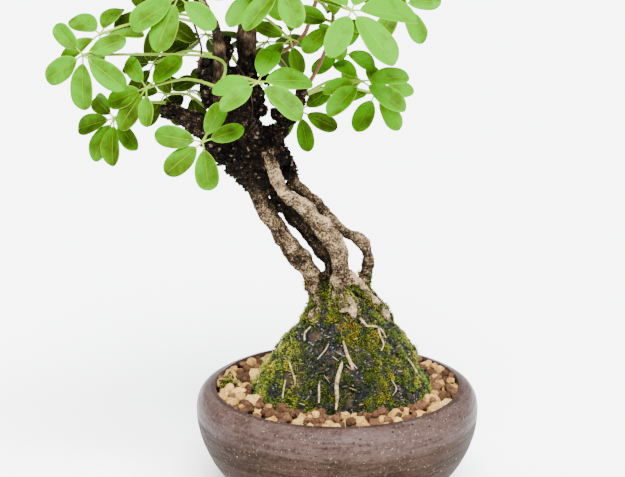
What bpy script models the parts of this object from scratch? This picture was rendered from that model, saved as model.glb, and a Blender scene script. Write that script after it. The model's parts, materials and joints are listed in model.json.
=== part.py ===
"""A bonsai chocolate vine: a five-leaved twining vine on four exposed roots, standing in a mossy
mound of soil in a round stoneware pot. Metres, +Z up, standing on the floor at z = 0, with the
middle of its bounding box over the origin. Lengths below are written in millimetres through MM."""

import math
import random
from collections import namedtuple

import bmesh
import bpy
from mathutils import Matrix, Vector
from mathutils.bvhtree import BVHTree

MM = 0.001
GAP = 0.3 * MM

# The pot: outer and inner profile from the rim's crest down, as (radius, height).
POT_SIDES = 28
POT_OUTER = [(70, 74), (75.5, 71.8), (79.2, 66.5), (80, 58), (77.8, 46), (71, 31.5), (60, 19), (48, 10), (45.5, 0)]
POT_FOOT = [(39.5, 0), (38.5, 4)]
DRAIN_RADIUS = 7.5
POT_FLOOR = 11
POT_INNER = [(36, 11), (46, 15), (56, 24), (65.5, 35.5), (71.3, 47), (73.2, 57), (71.4, 67), (68.4, 72.5)]

# The plastic mesh over the drain hole.
MESH_RADIUS = 12.5
MESH_THICK = 0.8
MESH_HOLES = 3
MESH_PITCH = 5
MESH_HOLE = 3.4

# The soil, the mound that rises from it, and the gravel round the mound.
SOIL_TOP = 63
MOUND_CENTRE = (2.5, 3.0)
MOUND_LEAN = 3.0
MOUND_DEPTH = 0.9
MOUND_PROFILE = [(10, 129.6), (17, 126.6), (20.5, 121), (24.5, 114), (31.5, 104.5), (39.5, 95), (45.6, 84), (51.2, 73)]
CORE_PROFILE = [(10, 129.6), (17, 126.6), (24.5, 114), (39.5, 95), (51.2, 73)]
MOUND_FOOT = 52.2
MOSS_THICK = 2.6
MOSS_LUMP = 0.9
BED_TOP = 67.4
GRAIN_RADIUS = (3.9, 5.1)
GRAIN_LEVEL = 67.9
GRAIN_SQUASH = 0.8
GRAIN_THROWS = 900
GRAIN_SEED = 5

# Wood, traced along each limb as (x, y, z, radius) from the pot's axis.
LIMBS = {
    "root_left": [(-48, -4, 200, 8.2), (-44, -5, 188, 6.9), (-42, -6, 180, 6.0), (-36, -6, 171, 6.0),
                  (-30, -5, 161, 5.4), (-24, -4, 152, 5.8), (-18, -3, 144, 5.6), (-13, -2, 136, 5.7),
                  (-11, -2, 126, 5.3), (-9, 0, 112, 4.8)],
    "root_front": [(-38, -12, 210, 4.2), (-35, -16, 202, 3.6), (-32, -17, 194, 3.6), (-27, -17, 187, 4.2),
                   (-20, -16, 182, 4.8), (-13, -16, 175, 5.2), (-7, -16, 168, 5.5), (-2, -15, 161, 5.2),
                   (1, -14, 153, 4.7), (1, -14, 145, 4.4), (1, -14, 137, 4.8), (2, -11, 122, 5.4)],
    "root_right": [(-38, 3, 211, 5.0), (-30, 6, 203, 4.4), (-26, 9, 195, 3.9), (-24, 9, 188, 3.5), (-18, 8, 183, 3.5),
                   (-10, 8, 176, 3.3), (-4, 9, 168, 3.4), (3, 10, 161, 3.5), (9, 11, 158, 3.8),
                   (14, 12, 154, 3.7), (17, 12, 147, 3.4), (17, 12, 139, 3.4), (16, 12, 130, 3.7),
                   (17, 10, 114, 4.0)],
    "root_back": [(-40, 2, 196, 7.0), (-31, 3, 182, 5.8), (-25, 4, 172, 5.6), (-18, 4, 164, 5.0),
                  (-11, 4, 155, 4.7), (-6, 2, 148, 4.5), (-3, 0, 141, 5.0), (-2, 1, 124, 5.6)],
    "root_side": [(1, -11, 143, 3.4), (5.5, -12, 142, 2.5), (10.5, -11, 136.5, 2.5), (16.5, -8, 129.5, 2.6),
                  (22, -5, 123, 2.6), (27, -2, 116.6, 2.6), (29, 0, 106, 2.2)],
    "trunk": [(-42, 0, 190, 9.5), (-46, 0, 200, 12.6), (-50, -1, 209, 14.4), (-54, 0, 219, 13.4),
              (-57, 0, 228, 11.6), (-57, 2, 238, 8.5)],
    "stub_left": [(-62, 0, 215, 7.5), (-76, 2, 222, 5.6), (-86, 4, 227, 4.4), (-96, 8, 230, 4.3)],
    "stem_left": [(-60, -5, 230, 7.0), (-64, -8, 243, 4.0), (-64, -8, 254, 3.4), (-64, -6, 265, 3.4),
                  (-66, -4, 277, 3.1), (-71, -4, 286, 3.0), (-75, -2, 296, 2.7), (-76, 0, 313, 2.4),
                  (-72, 4, 331, 2.2), (-67, 6, 349, 1.7)],
    "stem_spur": [(-63, -4, 250, 4.0), (-60, 0, 263, 3.2), (-61, 0, 272, 2.4)],
    "stem_right": [(-55, 4, 230, 8.2), (-51, 8, 250, 5.6), (-50, 8, 266, 5.4), (-49, 8, 280, 5.2),
                   (-48, 8, 296, 4.6), (-44, 6, 315, 3.8), (-38, 4, 334, 3.1), (-33, 4, 355, 2.2)],
    "stub_right": [(-42, 1, 206, 6.0), (-31, 0, 221, 4.2), (-25, -2, 230, 3.7), (-21, -4, 239, 3.6), (-19, -4, 246, 2.8)],
}
# Burrs and old scars that swell the trunk, as (x, y, z, radius).
BURRS = [(-62, -3, 211, 9.5), (-68, 2, 214, 7.0), (-38, 2, 214, 8.8), (-35, -4, 208, 8.0), (-60, -6, 235, 7.2),
         (-70, 4, 245, 5.0), (-66, 6, 236, 7.0), (-27, 6, 198, 4.2), (-43, 5, 198, 10.0), (-34, 0, 178, 5.4),
         (-49, 9, 215, 9.0)]
TWINERS = {
    "twining_stem_right": [(-20, -4, 240, 1.5), (-13, -4, 252, 1.4), (-8, -6, 263, 1.3), (-5, -8, 272, 1.3),
                           (-3, -8, 287, 1.2), (-6, -4, 303, 1.1), (-14, 2, 318, 1.0), (-22, 6, 333, 0.9)],
    "twining_stem_back": [(-50, 10, 255, 1.6), (-42, 15, 258, 1.5), (-29, 17, 262, 1.4), (-19, 15, 270, 1.4),
                          (-14, 11, 284, 1.4), (-10, 8, 298, 1.3), (-9, 8, 318, 1.2), (-14, 10, 339, 1.1),
                          (-22, 10, 360, 0.9)],
}
THICK_LIMBS = ("root_left", "root_front", "root_right", "root_back", "trunk", "stub_left")
WOOD_SWELL = 1.06

# Leaves. A leaf is a stalk from its bud to its hub, and five leaflets round the hub.
FAN = (0, 66, -66, 134, -134)
LEAFLET_SHARE = (1.0, 0.94, 0.94, 0.78, 0.78)
STALKLET = 4.5
STALK_RADIUS = 0.8
HUB_RADIUS = 1.5
BUD_RADIUS = 2.4
BUD_RISE = 0.7
THIN_LIMB = 2.0
THIN_RISE = 1.7
BLADE_THICK = 0.8
BLADE_ROWS = [(0.24, 0.8), (0.7, 1.0), (1.0, 0.36)]
LEAF_SEED = 11

Leaf = namedtuple("Leaf", "hub face turn size fan via", defaults=(FAN, None))
Leaflet = namedtuple("Leaflet", "hub out along side normal length width sag")
Spur = namedtuple("Spur", "bud leaves")
Grown = namedtuple("Grown", "stalk hub leaflets")

# The leaves that face the front, by the bud that bears them. A leaf's face is the way its upper
# side looks, as degrees round from the front and up; its turn is where its middle leaflet points.
FRONT_SPURS = {
    "leaves_low_front": Spur((-61, -14, 232), [
        Leaf((-72, -34, 221), (0, 12), -136, 23.5, (0, 57, -54, 158, -160)),
    ]),
    "leaves_middle": Spur((-64, -12, 246), [
        Leaf((-42, -46, 255), (5, 52), 22, 27, (0, -65, 51, 155, -161)),
        Leaf((-101, -34, 250), (-25, 20), -120, 22, (0, 168, -36, 40, -98)),
        Leaf((-134, -32, 267), (-15, 16), -92, 25, (0, 60, -62, 120, -130), via=(-66, -16, 263)),
    ]),
    "leaves_left_high": Spur((-69, -5, 280), [
        Leaf((-127, -12, 275), (-20, 55), 150, 23),
        Leaf((-98, 8, 281.5), (10, 30), -100, 21),
    ]),
    "leaves_near_high": Spur((-72, -7, 290), [
        Leaf((-82, -52, 300), (-10, 30), -149, 26, (0, 36, -60, 110, -124)),
    ]),
    "leaves_left_back": Spur((-67, -3, 262), [
        Leaf((-101, 14, 255), (-30, 35), 178, 22),
    ]),
    "leaves_stub": Spur((-94, 5, 236), [
        Leaf((-121, -10, 229), (-30, 25), -122, 23, (0, 36, -36, 76, -90)),
    ]),
    "leaves_low_back": Spur((-68, 5, 235), [
        Leaf((-96, 24, 236), (0, 20), 165, 19),
        Leaf((-84, 42, 234), (20, 40), -80, 20),
    ]),
    "leaves_centre": Spur((-48, 3, 284), [
        Leaf((-26, -4, 271), (10, 30), -145, 16),
        Leaf((-2.5, -20, 282), (5, 15), -135, 18, (0, 60, -66, 130, -134)),
        Leaf((-43, -24, 300), (-5, 50), 175, 22),
        Leaf((6, -47, 292.5), (20, 52), -8, 33, (0, 60, -58, 112, -118)),
    ]),
    "leaves_right": Spur((-17, -6, 242), [
        Leaf((12, -26, 252), (0, 45), -37, 23, (0, 51, -92, -136, 169)),
        Leaf((20, -2, 241), (15, 40), -55, 20),
    ]),
    "leaves_right_low": Spur((-27, 3, 228), [
        Leaf((-21, 16, 228), (0, 10), -80, 20, (0, 54, -60, 118, -128)),
    ]),
    "leaves_right_high": Spur((-8, 8, 289), [
        Leaf((33, -4, 290), (10, 25), -60, 21),
        Leaf((24, 26, 300), (60, 50), 10, 22),
    ]),
    "leaves_right_mid": Spur((-4, -3, 266), [
        Leaf((2, 8, 262), (30, 30), -20, 20),
    ]),
}
# The rest of the crown follows a rule: buds up these limbs, turning by the golden angle.
CROWN_BUDS = {
    "stem_left": (3, 5, 7, 8, 9),
    "stem_right": (1, 3, 4, 5, 6, 7),
    "twining_stem_right": (4, 6, 7),
    "twining_stem_back": (2, 5, 7, 8),
}
BUD_LEADS = (-45, 45)
BUD_ROOM = 7
GOLDEN_ANGLE = 137.5
STALK_REACH = (30, 52)
CROWN_LEAFLET = (21, 26)
CROWN_TRIES = 60
CLEARANCE = 1.6


def vec(x, y, z):
    """A point given in millimetres."""
    return Vector((x, y, z)) * MM


def facing(azimuth, elevation):
    """The direction this many degrees round from the front and up from the horizon."""
    a, e = math.radians(azimuth), math.radians(elevation)
    return Vector((math.sin(a) * math.cos(e), -math.cos(a) * math.cos(e), math.sin(e)))


def leaf_axes(normal):
    """The two directions in a leaf's plane: to its right, and the one nearest to straight up."""
    up = Vector((0, 0, 1)) - normal * normal.z
    up = up.normalized() if up.length > 0.05 else Vector((0, 1, 0))
    return up.cross(normal), up


def grow_leaf(bud, leaf, rng):
    """The stalk's points and the leaflets of one leaf, the leaflets in order round the hub."""
    hub, normal = vec(*leaf.hub), facing(*leaf.face)
    right, up = leaf_axes(normal)
    reach = hub - bud
    first = vec(*leaf.via) if leaf.via else bud + reach * 0.45 + Vector((0, 0, 0.11 * reach.length))
    stalk = [bud, first, hub]
    leaflets = []
    for angle, share in sorted(zip(leaf.fan, LEAFLET_SHARE)):
        turn = math.radians(leaf.turn + angle + rng.uniform(-5, 5))
        droop = math.radians(rng.uniform(2, 16))
        out = right * math.cos(turn) + up * math.sin(turn)
        along = out * math.cos(droop) - normal * math.sin(droop)
        face = normal * math.cos(droop) + out * math.sin(droop)
        length = leaf.size * share * rng.uniform(0.94, 1.06) * MM
        leaflets.append(Leaflet(hub, out, along, face.cross(along), face, length,
                                length * rng.uniform(0.25, 0.29), length * rng.uniform(0.04, 0.15)))
    return Grown(stalk, hub, leaflets)


def blade_point(leaflet, share, across=0.0):
    """A point of the blade's middle surface: share of its length, and across from -1 to 1 of its half width."""
    at = leaflet.hub + leaflet.along * (STALKLET * MM + leaflet.length * share)
    at = at - leaflet.normal * leaflet.sag * share * share
    return at + leaflet.side * across * leaflet.width


def leaf_tree(grown, thick):
    """The leaf as plain slabs and a plain stalk, to find what it would cross."""
    points, faces = [], []
    for leaflet in grown.leaflets:
        rows = [[leaflet.hub - leaflet.side * MM, leaflet.hub + leaflet.side * MM]]
        rows += [[blade_point(leaflet, s, -w), blade_point(leaflet, s, w)] for s, w in BLADE_ROWS]
        for side in (-thick / 2, thick / 2):
            first = len(points)
            points += [p + leaflet.normal * side for row in rows for p in row]
            for i in range(first, first + 2 * len(rows) - 2, 2):
                faces.append((i, i + 1, i + 3, i + 2))
    for a, b in zip(grown.stalk[:-1], grown.stalk[1:]):
        for side in (Vector((thick, 0, 0)), Vector((0, thick, 0)), Vector((0, 0, thick))):
            first = len(points)
            points += [a - side, a + side, b + side, b - side]
            faces.append((first, first + 1, first + 2, first + 3))
    return BVHTree.FromPolygons(points, faces)


def limb_runs():
    """Every limb, twiner and burr as (start, end, radius at the start, radius at the end) runs."""
    runs = []
    for limb in list(LIMBS.values()) + list(TWINERS.values()):
        for (ax, ay, az, ar), (bx, by, bz, br) in zip(limb[:-1], limb[1:]):
            runs.append((vec(ax, ay, az), vec(bx, by, bz), ar * WOOD_SWELL * MM, br * WOOD_SWELL * MM))
    return runs + [(vec(x, y, z), vec(x, y, z + 0.1), r * MM, r * MM) for x, y, z, r in BURRS]


def nearest_limb(point, runs):
    """The nearest limb's axis point, its radius there, and how far its skin is from this point."""
    best = None
    for start, end, start_radius, end_radius in runs:
        line = end - start
        share = max(0.0, min(1.0, (point - start).dot(line) / line.length_squared))
        axis = start + line * share
        radius = start_radius + (end_radius - start_radius) * share
        room = (axis - point).length - radius
        if best is None or room < best[2]:
            best = (axis, radius, room)
    return best


def seat_bud(bud, runs):
    """The bud moved to the skin of the nearest limb."""
    axis, radius, _ = nearest_limb(bud, runs)
    rise = BUD_RISE if radius > THIN_LIMB * MM else THIN_RISE
    return axis + (bud - axis).normalized() * (radius + rise * MM)


def meets_wood(grown, runs, room):
    """Whether a blade, or the stalk away from its bud, comes too close to a limb."""
    probes = [blade_point(f, s, w) for f in grown.leaflets for s in (0.0, 0.35, 0.7, 1.0) for w in (-0.9, 0.0, 0.9)]
    bud, first, hub = grown.stalk
    probes += [bud.lerp(first, 0.4), bud.lerp(first, 0.7), first, first.lerp(hub, 0.33), first.lerp(hub, 0.67), hub]
    return any(nearest_limb(probe, runs)[2] < room for probe in probes)


def crown_leaf(bud, outward, tilt, rng):
    """A leaf for the crown: held out from its bud, looking up and outwards, its middle leaflet furthest out."""
    reach = rng.uniform(*STALK_REACH)
    out = (outward + Vector((0, 0, tilt + rng.uniform(-0.25, 0.35)))).normalized()
    hub = bud / MM + out * reach
    face_up = rng.uniform(35, 80)
    azimuth = math.degrees(math.atan2(out.x, -out.y)) + rng.uniform(-35, 35)
    right, up = leaf_axes(facing(azimuth, face_up))
    turn = math.degrees(math.atan2(out.dot(up), out.dot(right)))
    return Leaf(tuple(hub), (azimuth, face_up), turn, rng.uniform(*CROWN_LEAFLET))


def plan_leaves():
    """Every spur's bud and grown leaves, by name. The crown's leaves are drawn until they cross nothing."""
    rng = random.Random(LEAF_SEED)
    runs = limb_runs()
    spurs, taken = {}, []
    for name, spur in FRONT_SPURS.items():
        bud = seat_bud(vec(*spur.bud), runs)
        grown = [grow_leaf(bud, leaf, rng) for leaf in spur.leaves]
        spurs[name] = (bud, grown)
        taken += [leaf_tree(g, CLEARANCE * MM) for g in grown]
    turn = 0.0
    buds = [bud for bud, _ in spurs.values()]
    for limb_name, stations in CROWN_BUDS.items():
        limb = LIMBS.get(limb_name) or TWINERS[limb_name]
        for station in stations:
            x, y, z, radius = limb[station]
            turn += GOLDEN_ANGLE
            side = Vector((math.cos(math.radians(turn)), math.sin(math.radians(turn)), 0))
            bud = seat_bud(vec(x, y, z) + side * radius * MM, runs)
            grown, trees = [], []
            if any((bud - other).length < BUD_ROOM * MM for other in buds):
                continue
            buds.append(bud)
            for lead in BUD_LEADS:
                for _ in range(CROWN_TRIES):
                    angle = math.radians(turn + lead + rng.uniform(-30, 30))
                    outward = Vector((math.cos(angle), math.sin(angle), 0))
                    tilt = 0.9 if station == len(limb) - 1 else 0.15
                    tried = grow_leaf(bud, crown_leaf(bud, outward, tilt, rng), rng)
                    tree = leaf_tree(tried, CLEARANCE * MM)
                    if meets_wood(tried, runs, 2 * MM) or any(tree.overlap(other) for other in taken):
                        continue
                    grown.append(tried)
                    trees.append(tree)
                    break
            if grown:
                spurs[f"leaves_{limb_name}_{station}"] = (bud, grown)
                taken += trees
    return spurs


def add(name, mesh):
    """A new object in the scene for this mesh."""
    obj = bpy.data.objects.new(name, mesh)
    bpy.context.scene.collection.objects.link(obj)
    return obj


def from_bmesh(name, bm):
    """A new object from a bmesh, with its faces turned outwards."""
    bmesh.ops.recalc_face_normals(bm, faces=bm.faces)
    mesh = bpy.data.meshes.new(name)
    bm.to_mesh(mesh)
    bm.free()
    return add(name, mesh)


def remove(objects):
    """Take objects out of the file."""
    for obj in list(objects):
        bpy.data.objects.remove(obj)


def settle(obj):
    """Apply the object's modifiers, weld what they left apart, and turn its faces outwards."""
    seen = obj.evaluated_get(bpy.context.evaluated_depsgraph_get())
    mesh = bpy.data.meshes.new_from_object(seen)
    bm = bmesh.new()
    bm.from_mesh(mesh)
    bmesh.ops.remove_doubles(bm, verts=bm.verts, dist=0.001 * MM)
    bmesh.ops.recalc_face_normals(bm, faces=bm.faces)
    bm.to_mesh(mesh)
    bm.free()
    new = add(obj.name, mesh)
    name = obj.name
    remove([obj])
    new.name = name
    return new


def turned(name, profile, closed):
    """A body turned round the pot's axis from its profile, given as (radius, height)."""
    mesh = bpy.data.meshes.new(name)
    edges = [(i, i + 1) for i in range(len(profile) - 1)]
    if closed:
        edges.append((len(profile) - 1, 0))
    mesh.from_pydata([vec(r, 0, z) for r, z in profile], edges, [])
    obj = add(name, mesh)
    screw = obj.modifiers.new("turn", "SCREW")
    screw.steps = POT_SIDES
    screw.render_steps = POT_SIDES
    screw.use_merge_vertices = True
    screw.merge_threshold = 0.00001
    screw.use_normal_calculate = True
    return settle(obj)


def inset(profile, distance):
    """The profile moved this far to its left, as it runs."""
    moved = []
    for i, (r, z) in enumerate(profile):
        before, after = profile[max(i - 1, 0)], profile[min(i + 1, len(profile) - 1)]
        run = Vector((after[0] - before[0], after[1] - before[1])).normalized()
        moved.append((r - run.y * distance, z + run.x * distance))
    return moved


def radius_at(profile, height):
    """The profile's radius at a height."""
    for (ra, za), (rb, zb) in zip(profile[:-1], profile[1:]):
        if min(za, zb) <= height <= max(za, zb):
            return ra + (rb - ra) * (height - za) / (zb - za)
    return profile[-1][0]


def to_mound(point, relief=0.0):
    """A point of the turned mound moved to where the mound stands, leans and is narrowed."""
    share = (point.z / MM - SOIL_TOP) / (MOUND_PROFILE[0][1] - SOIL_TOP)
    around = Vector((point.x, point.y, 0))
    if around.length > 1 * MM:
        around += around.normalized() * relief
    x = around.x + (MOUND_CENTRE[0] + MOUND_LEAN * share) * MM
    return Vector((x, around.y * MOUND_DEPTH + MOUND_CENTRE[1] * MM, point.z))


def moss_relief(point):
    """How far the moss swells here: soft lumps, dying out at its foot and its top."""
    angle = math.atan2(point.y, point.x)
    z = point.z / MM
    fade = max(0.0, min(1.0, (z - 76) / 8, (124 - z) / 6))
    lump = math.sin(3 * angle + z * 0.21) + 0.8 * math.sin(5 * angle - z * 0.33 + 1.0) + 0.5 * math.sin(8 * angle + z * 0.5)
    return MOSS_LUMP * MM * fade * lump


def make_pot():
    """The bowl, with its rolled rim, foot ring and drain hole."""
    floor = [(DRAIN_RADIUS, POT_FLOOR - 6), (DRAIN_RADIUS, POT_FLOOR)]
    return turned("pot", POT_OUTER + POT_FOOT + floor + POT_INNER, True)


def make_drain_mesh():
    """A plastic mesh disc over the drain hole."""
    bm = bmesh.new()
    base = (POT_FLOOR + 0.3 + MESH_THICK / 2) * MM
    bmesh.ops.create_cone(bm, cap_ends=True, segments=16, radius1=MESH_RADIUS * MM, radius2=MESH_RADIUS * MM,
                          depth=MESH_THICK * MM, matrix=Matrix.Translation((0, 0, base)))
    disc = from_bmesh("drain_mesh", bm)
    holes = []
    for i in range(MESH_HOLES):
        for j in range(MESH_HOLES):
            x = (i - (MESH_HOLES - 1) / 2) * MESH_PITCH * MM
            y = (j - (MESH_HOLES - 1) / 2) * MESH_PITCH * MM
            bm = bmesh.new()
            bmesh.ops.create_cube(bm, size=MESH_HOLE * MM, matrix=Matrix.Translation((x, y, base)))
            holes.append(from_bmesh("hole", bm))
    return combine(disc, holes, "DIFFERENCE")


def mound_lines():
    """The moss's outer and inner profile, and the soil core's, from the top down."""
    outer = MOUND_PROFILE + [(MOUND_FOOT, SOIL_TOP + 0.3)]
    inner = inset(CORE_PROFILE, -MOSS_THICK) + [(MOUND_FOOT - MOSS_THICK, SOIL_TOP + 0.3)]
    core = inset(CORE_PROFILE, -MOSS_THICK - 0.35) + [(MOUND_FOOT - MOSS_THICK - 0.35, SOIL_TOP)]
    top = MOUND_PROFILE[0][1] + 0.6
    return ([(0, top)] + outer, [(0, top - MOSS_THICK)] + inner, [(0, top - MOSS_THICK - 0.35)] + core)


def make_soil():
    """The fill of the pot and the core of the mound, with a pocket for the drain mesh."""
    core = mound_lines()[2]
    bowl = list(reversed(inset(POT_INNER, 0.35)[:-2:2]))
    wall = radius_at(POT_INNER, SOIL_TOP) - 0.35
    floor = POT_FLOOR + 0.35
    pocket = [(MESH_RADIUS + 1, floor), (MESH_RADIUS + 1, floor + MESH_THICK + 0.35), (0, floor + MESH_THICK + 0.35)]
    soil = turned("soil", core + [(wall, SOIL_TOP)] + bowl + pocket, False)
    for vertex in soil.data.vertices:
        around = Vector((vertex.co.x, vertex.co.y))
        if vertex.co.z > (SOIL_TOP - 0.01) * MM and around.length < (MOUND_FOOT + 2) * MM:
            vertex.co = to_mound(vertex.co)
    return soil


def make_moss():
    """The moss skin over the mound, with its soft lumps on the outside."""
    outer, inner, _ = mound_lines()
    moss = turned("moss_cover", outer + list(reversed(inner)), False)
    for vertex in moss.data.vertices:
        radius = Vector((vertex.co.x, vertex.co.y)).length / MM
        outside = radius > radius_at(outer, vertex.co.z / MM) - 0.8
        vertex.co = to_mound(vertex.co, moss_relief(vertex.co) if outside else 0.0)
    return moss


def make_gravel():
    """The bed of gravel round the mound, one ring with its grains fused on."""
    low, high = SOIL_TOP + 0.3, BED_TOP
    hole = MOUND_FOOT + 0.4
    ring = [(radius_at(POT_INNER, high) - 0.4, high), (radius_at(POT_INNER, low) - 0.4, low), (hole, low), (hole, high)]
    bed = turned("gravel", ring, True)
    for vertex in bed.data.vertices:
        if Vector((vertex.co.x, vertex.co.y)).length < (hole + 1) * MM:
            vertex.co = to_mound(vertex.co)
    rng = random.Random(GRAIN_SEED)
    grains, kept = [], []
    for _ in range(GRAIN_THROWS):
        radius = rng.uniform(*GRAIN_RADIUS)
        angle, out = rng.uniform(0, 2 * math.pi), rng.uniform(42, 70)
        x, y = out * math.cos(angle), out * math.sin(angle)
        mound_x, mound_y = x - MOUND_CENTRE[0], (y - MOUND_CENTRE[1]) / MOUND_DEPTH
        if out > 68.2 - radius or math.hypot(mound_x, mound_y) < MOUND_FOOT + 0.8 + radius / MOUND_DEPTH:
            continue
        if any(math.hypot(x - a, y - b) < 0.86 * (radius + c) for a, b, c in kept):
            continue
        kept.append((x, y, radius))
        bm = bmesh.new()
        turn = Matrix.Rotation(rng.uniform(0, 6), 4, "Z") @ Matrix.Rotation(rng.uniform(0, 6), 4, "X")
        squash = Matrix.Diagonal((1, rng.uniform(0.8, 1), GRAIN_SQUASH, 1))
        bmesh.ops.create_icosphere(bm, subdivisions=1, radius=radius * MM,
                                   matrix=Matrix.Translation(vec(x, y, GRAIN_LEVEL)) @ squash @ turn)
        grains.append(from_bmesh("grain", bm))
    return combine(bed, grains, "UNION")


def tube(name, points, extra, resolution):
    """A limb as a curve with a round bevel and filled caps, made a mesh. Extra swells it all round."""
    centres = [vec(x, y, z) for x, y, z, _ in points]
    centres[0] = centres[0] + (centres[0] - centres[1]).normalized() * extra * MM
    centres[-1] = centres[-1] + (centres[-1] - centres[-2]).normalized() * extra * MM
    curve = bpy.data.curves.new(name, "CURVE")
    curve.dimensions = "3D"
    curve.bevel_depth = MM
    curve.bevel_resolution = resolution
    curve.use_fill_caps = True
    spline = curve.splines.new("POLY")
    spline.points.add(len(points) - 1)
    for point, centre, (_, _, _, radius) in zip(spline.points, centres, points):
        point.co = (*centre, 1)
        point.radius = radius * WOOD_SWELL + extra
    return settle(add(name, curve))


def ball(name, centre, radius, faces):
    """A small round body: an octahedron, or a ball of 20 or 80 faces."""
    bm = bmesh.new()
    at = Matrix.Translation(centre)
    if faces == 8:
        bmesh.ops.create_uvsphere(bm, u_segments=4, v_segments=2, radius=radius, matrix=at)
    else:
        bmesh.ops.create_icosphere(bm, subdivisions=1 if faces == 20 else 2, radius=radius, matrix=at)
    return from_bmesh(name, bm)


def combine(base, others, operation, crossing=False):
    """One Boolean of the base and a collection of other bodies, which are then removed. Crossing
    says that a body may cross itself."""
    group = bpy.data.collections.new("others")
    bpy.context.scene.collection.children.link(group)
    for other in others:
        for owner in list(other.users_collection):
            owner.objects.unlink(other)
        group.objects.link(other)
    boolean = base.modifiers.new(operation.lower(), "BOOLEAN")
    boolean.operation = operation
    boolean.operand_type = "COLLECTION"
    boolean.collection = group
    boolean.solver = "EXACT"
    boolean.use_self = crossing
    result = settle(base)
    remove(group.objects)
    bpy.data.collections.remove(group)
    return result


def make_wood(name, extra=0.0):
    """The trunk, its roots, stubs and stems as one body. Extra swells it, for cutting what seats on it."""
    pieces = [tube(key, points, extra, 2 if key in THICK_LIMBS else 1) for key, points in LIMBS.items()]
    pieces += [ball("burr", vec(x, y, z), (r + extra) * MM, 80) for x, y, z, r in BURRS]
    wood = combine(pieces[0], pieces[1:], "UNION")
    wood.name = name
    return wood


def make_blades(leaf):
    """The five thin arched blades of a leaf, joined round its hub, as one sheet made thick."""
    bm = bmesh.new()
    count = len(leaf.leaflets)
    corners = []
    for before, after in zip([leaf.leaflets[-1]] + leaf.leaflets[:-1], leaf.leaflets):
        between = before.out + after.out
        if before.out.cross(after.out).dot(after.normal) < 0:
            between = -between
        corners.append(bm.verts.new(leaf.hub + between.normalized() * HUB_RADIUS * MM))
    bm.faces.new(corners)
    for i, leaflet in enumerate(leaf.leaflets):
        right, left = corners[i], corners[(i + 1) % count]
        for share, width in BLADE_ROWS:
            new_right = bm.verts.new(blade_point(leaflet, share, -width))
            new_left = bm.verts.new(blade_point(leaflet, share, width))
            bm.faces.new((right, new_right, new_left, left))
            right, left = new_right, new_left
    mesh = bpy.data.meshes.new("blades")
    bm.to_mesh(mesh)
    bm.free()
    blades = add("blades", mesh)
    solid = blades.modifiers.new("thickness", "SOLIDIFY")
    solid.thickness = BLADE_THICK * MM
    solid.offset = 0
    solid.use_even_offset = True
    return settle(blades)


def make_spur(name, bud, grown, cutter):
    """A bud with its compound leaves, seated on the wood."""
    pieces = []
    for leaf in grown:
        line = [(p.x / MM, p.y / MM, p.z / MM, STALK_RADIUS) for p in leaf.stalk]
        pieces.append(tube("stalk", line, 0.0, 0))
        pieces.append(make_blades(leaf))
    base = combine(ball("bud", bud, BUD_RADIUS * MM, 20), pieces, "UNION", crossing=True)
    spur = cut_by(base, cutter)
    spur.name = name
    return spur


def cut_by(obj, cutter, solver="EXACT"):
    """Cut a kept body out of this one."""
    boolean = obj.modifiers.new("seat", "BOOLEAN")
    boolean.operation = "DIFFERENCE"
    boolean.object = cutter
    boolean.solver = solver
    return settle(obj)


def paint(obj, colour, roughness):
    """The object's own material."""
    material = bpy.data.materials.new(obj.name)
    material.use_nodes = True
    shader = material.node_tree.nodes["Principled BSDF"]
    shader.inputs["Base Color"].default_value = (*colour, 1)
    shader.inputs["Roughness"].default_value = roughness
    obj.data.materials.clear()
    obj.data.materials.append(material)


def main():
    """Build every piece, then bring the whole over the origin."""
    for obj in list(bpy.data.objects):
        bpy.data.objects.remove(obj)
    spurs = plan_leaves()
    cutter = make_wood("wood_cutter", extra=0.35)
    twiner_cutters = [tube("twiner_cutter", points, 0.35, 1) for points in TWINERS.values()]
    made = [(make_pot(), (0.10, 0.055, 0.045), 0.6), (make_drain_mesh(), (0.02, 0.02, 0.02), 0.5)]
    made.append((cut_by(make_soil(), cutter), (0.05, 0.03, 0.02), 0.95))
    made.append((cut_by(make_moss(), cutter, "MANIFOLD"), (0.10, 0.16, 0.02), 0.95))
    made.append((make_gravel(), (0.45, 0.33, 0.20), 0.85))
    made.append((make_wood("trunk"), (0.07, 0.045, 0.03), 0.85))
    for name, points in TWINERS.items():
        made.append((cut_by(tube(name, points, 0.0, 1), cutter), (0.16, 0.06, 0.03), 0.6))
    for name, (bud, grown) in spurs.items():
        spur = make_spur(name, bud, grown, cutter)
        for twiner_cutter in twiner_cutters:
            spur = cut_by(spur, twiner_cutter)
        made.append((spur, (0.12, 0.24, 0.03), 0.5))
    remove([cutter] + twiner_cutters)
    group = bpy.data.collections.new("chocolate_vine")
    bpy.context.scene.collection.children.link(group)
    corners = [v.co for obj, _, _ in made for v in obj.data.vertices]
    middle_x = (min(c.x for c in corners) + max(c.x for c in corners)) / 2
    middle_y = (min(c.y for c in corners) + max(c.y for c in corners)) / 2
    for obj, colour, roughness in made:
        obj.data.transform(Matrix.Translation((-middle_x, -middle_y, 0)))
        paint(obj, colour, roughness)
        for owner in list(obj.users_collection):
            owner.objects.unlink(obj)
        group.objects.link(obj)


main()
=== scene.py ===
# %% [markdown]
# # A potted chocolate vine
#
# A small trained akebia: a twining vine with leaves of five leaflets, raised on four bare roots over a
# mound of moss in a round unglazed bowl. The solids of the part are loaded first, as a frame that fixes
# every size and place. Then each of them gets its finished shape or its finish.

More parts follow.
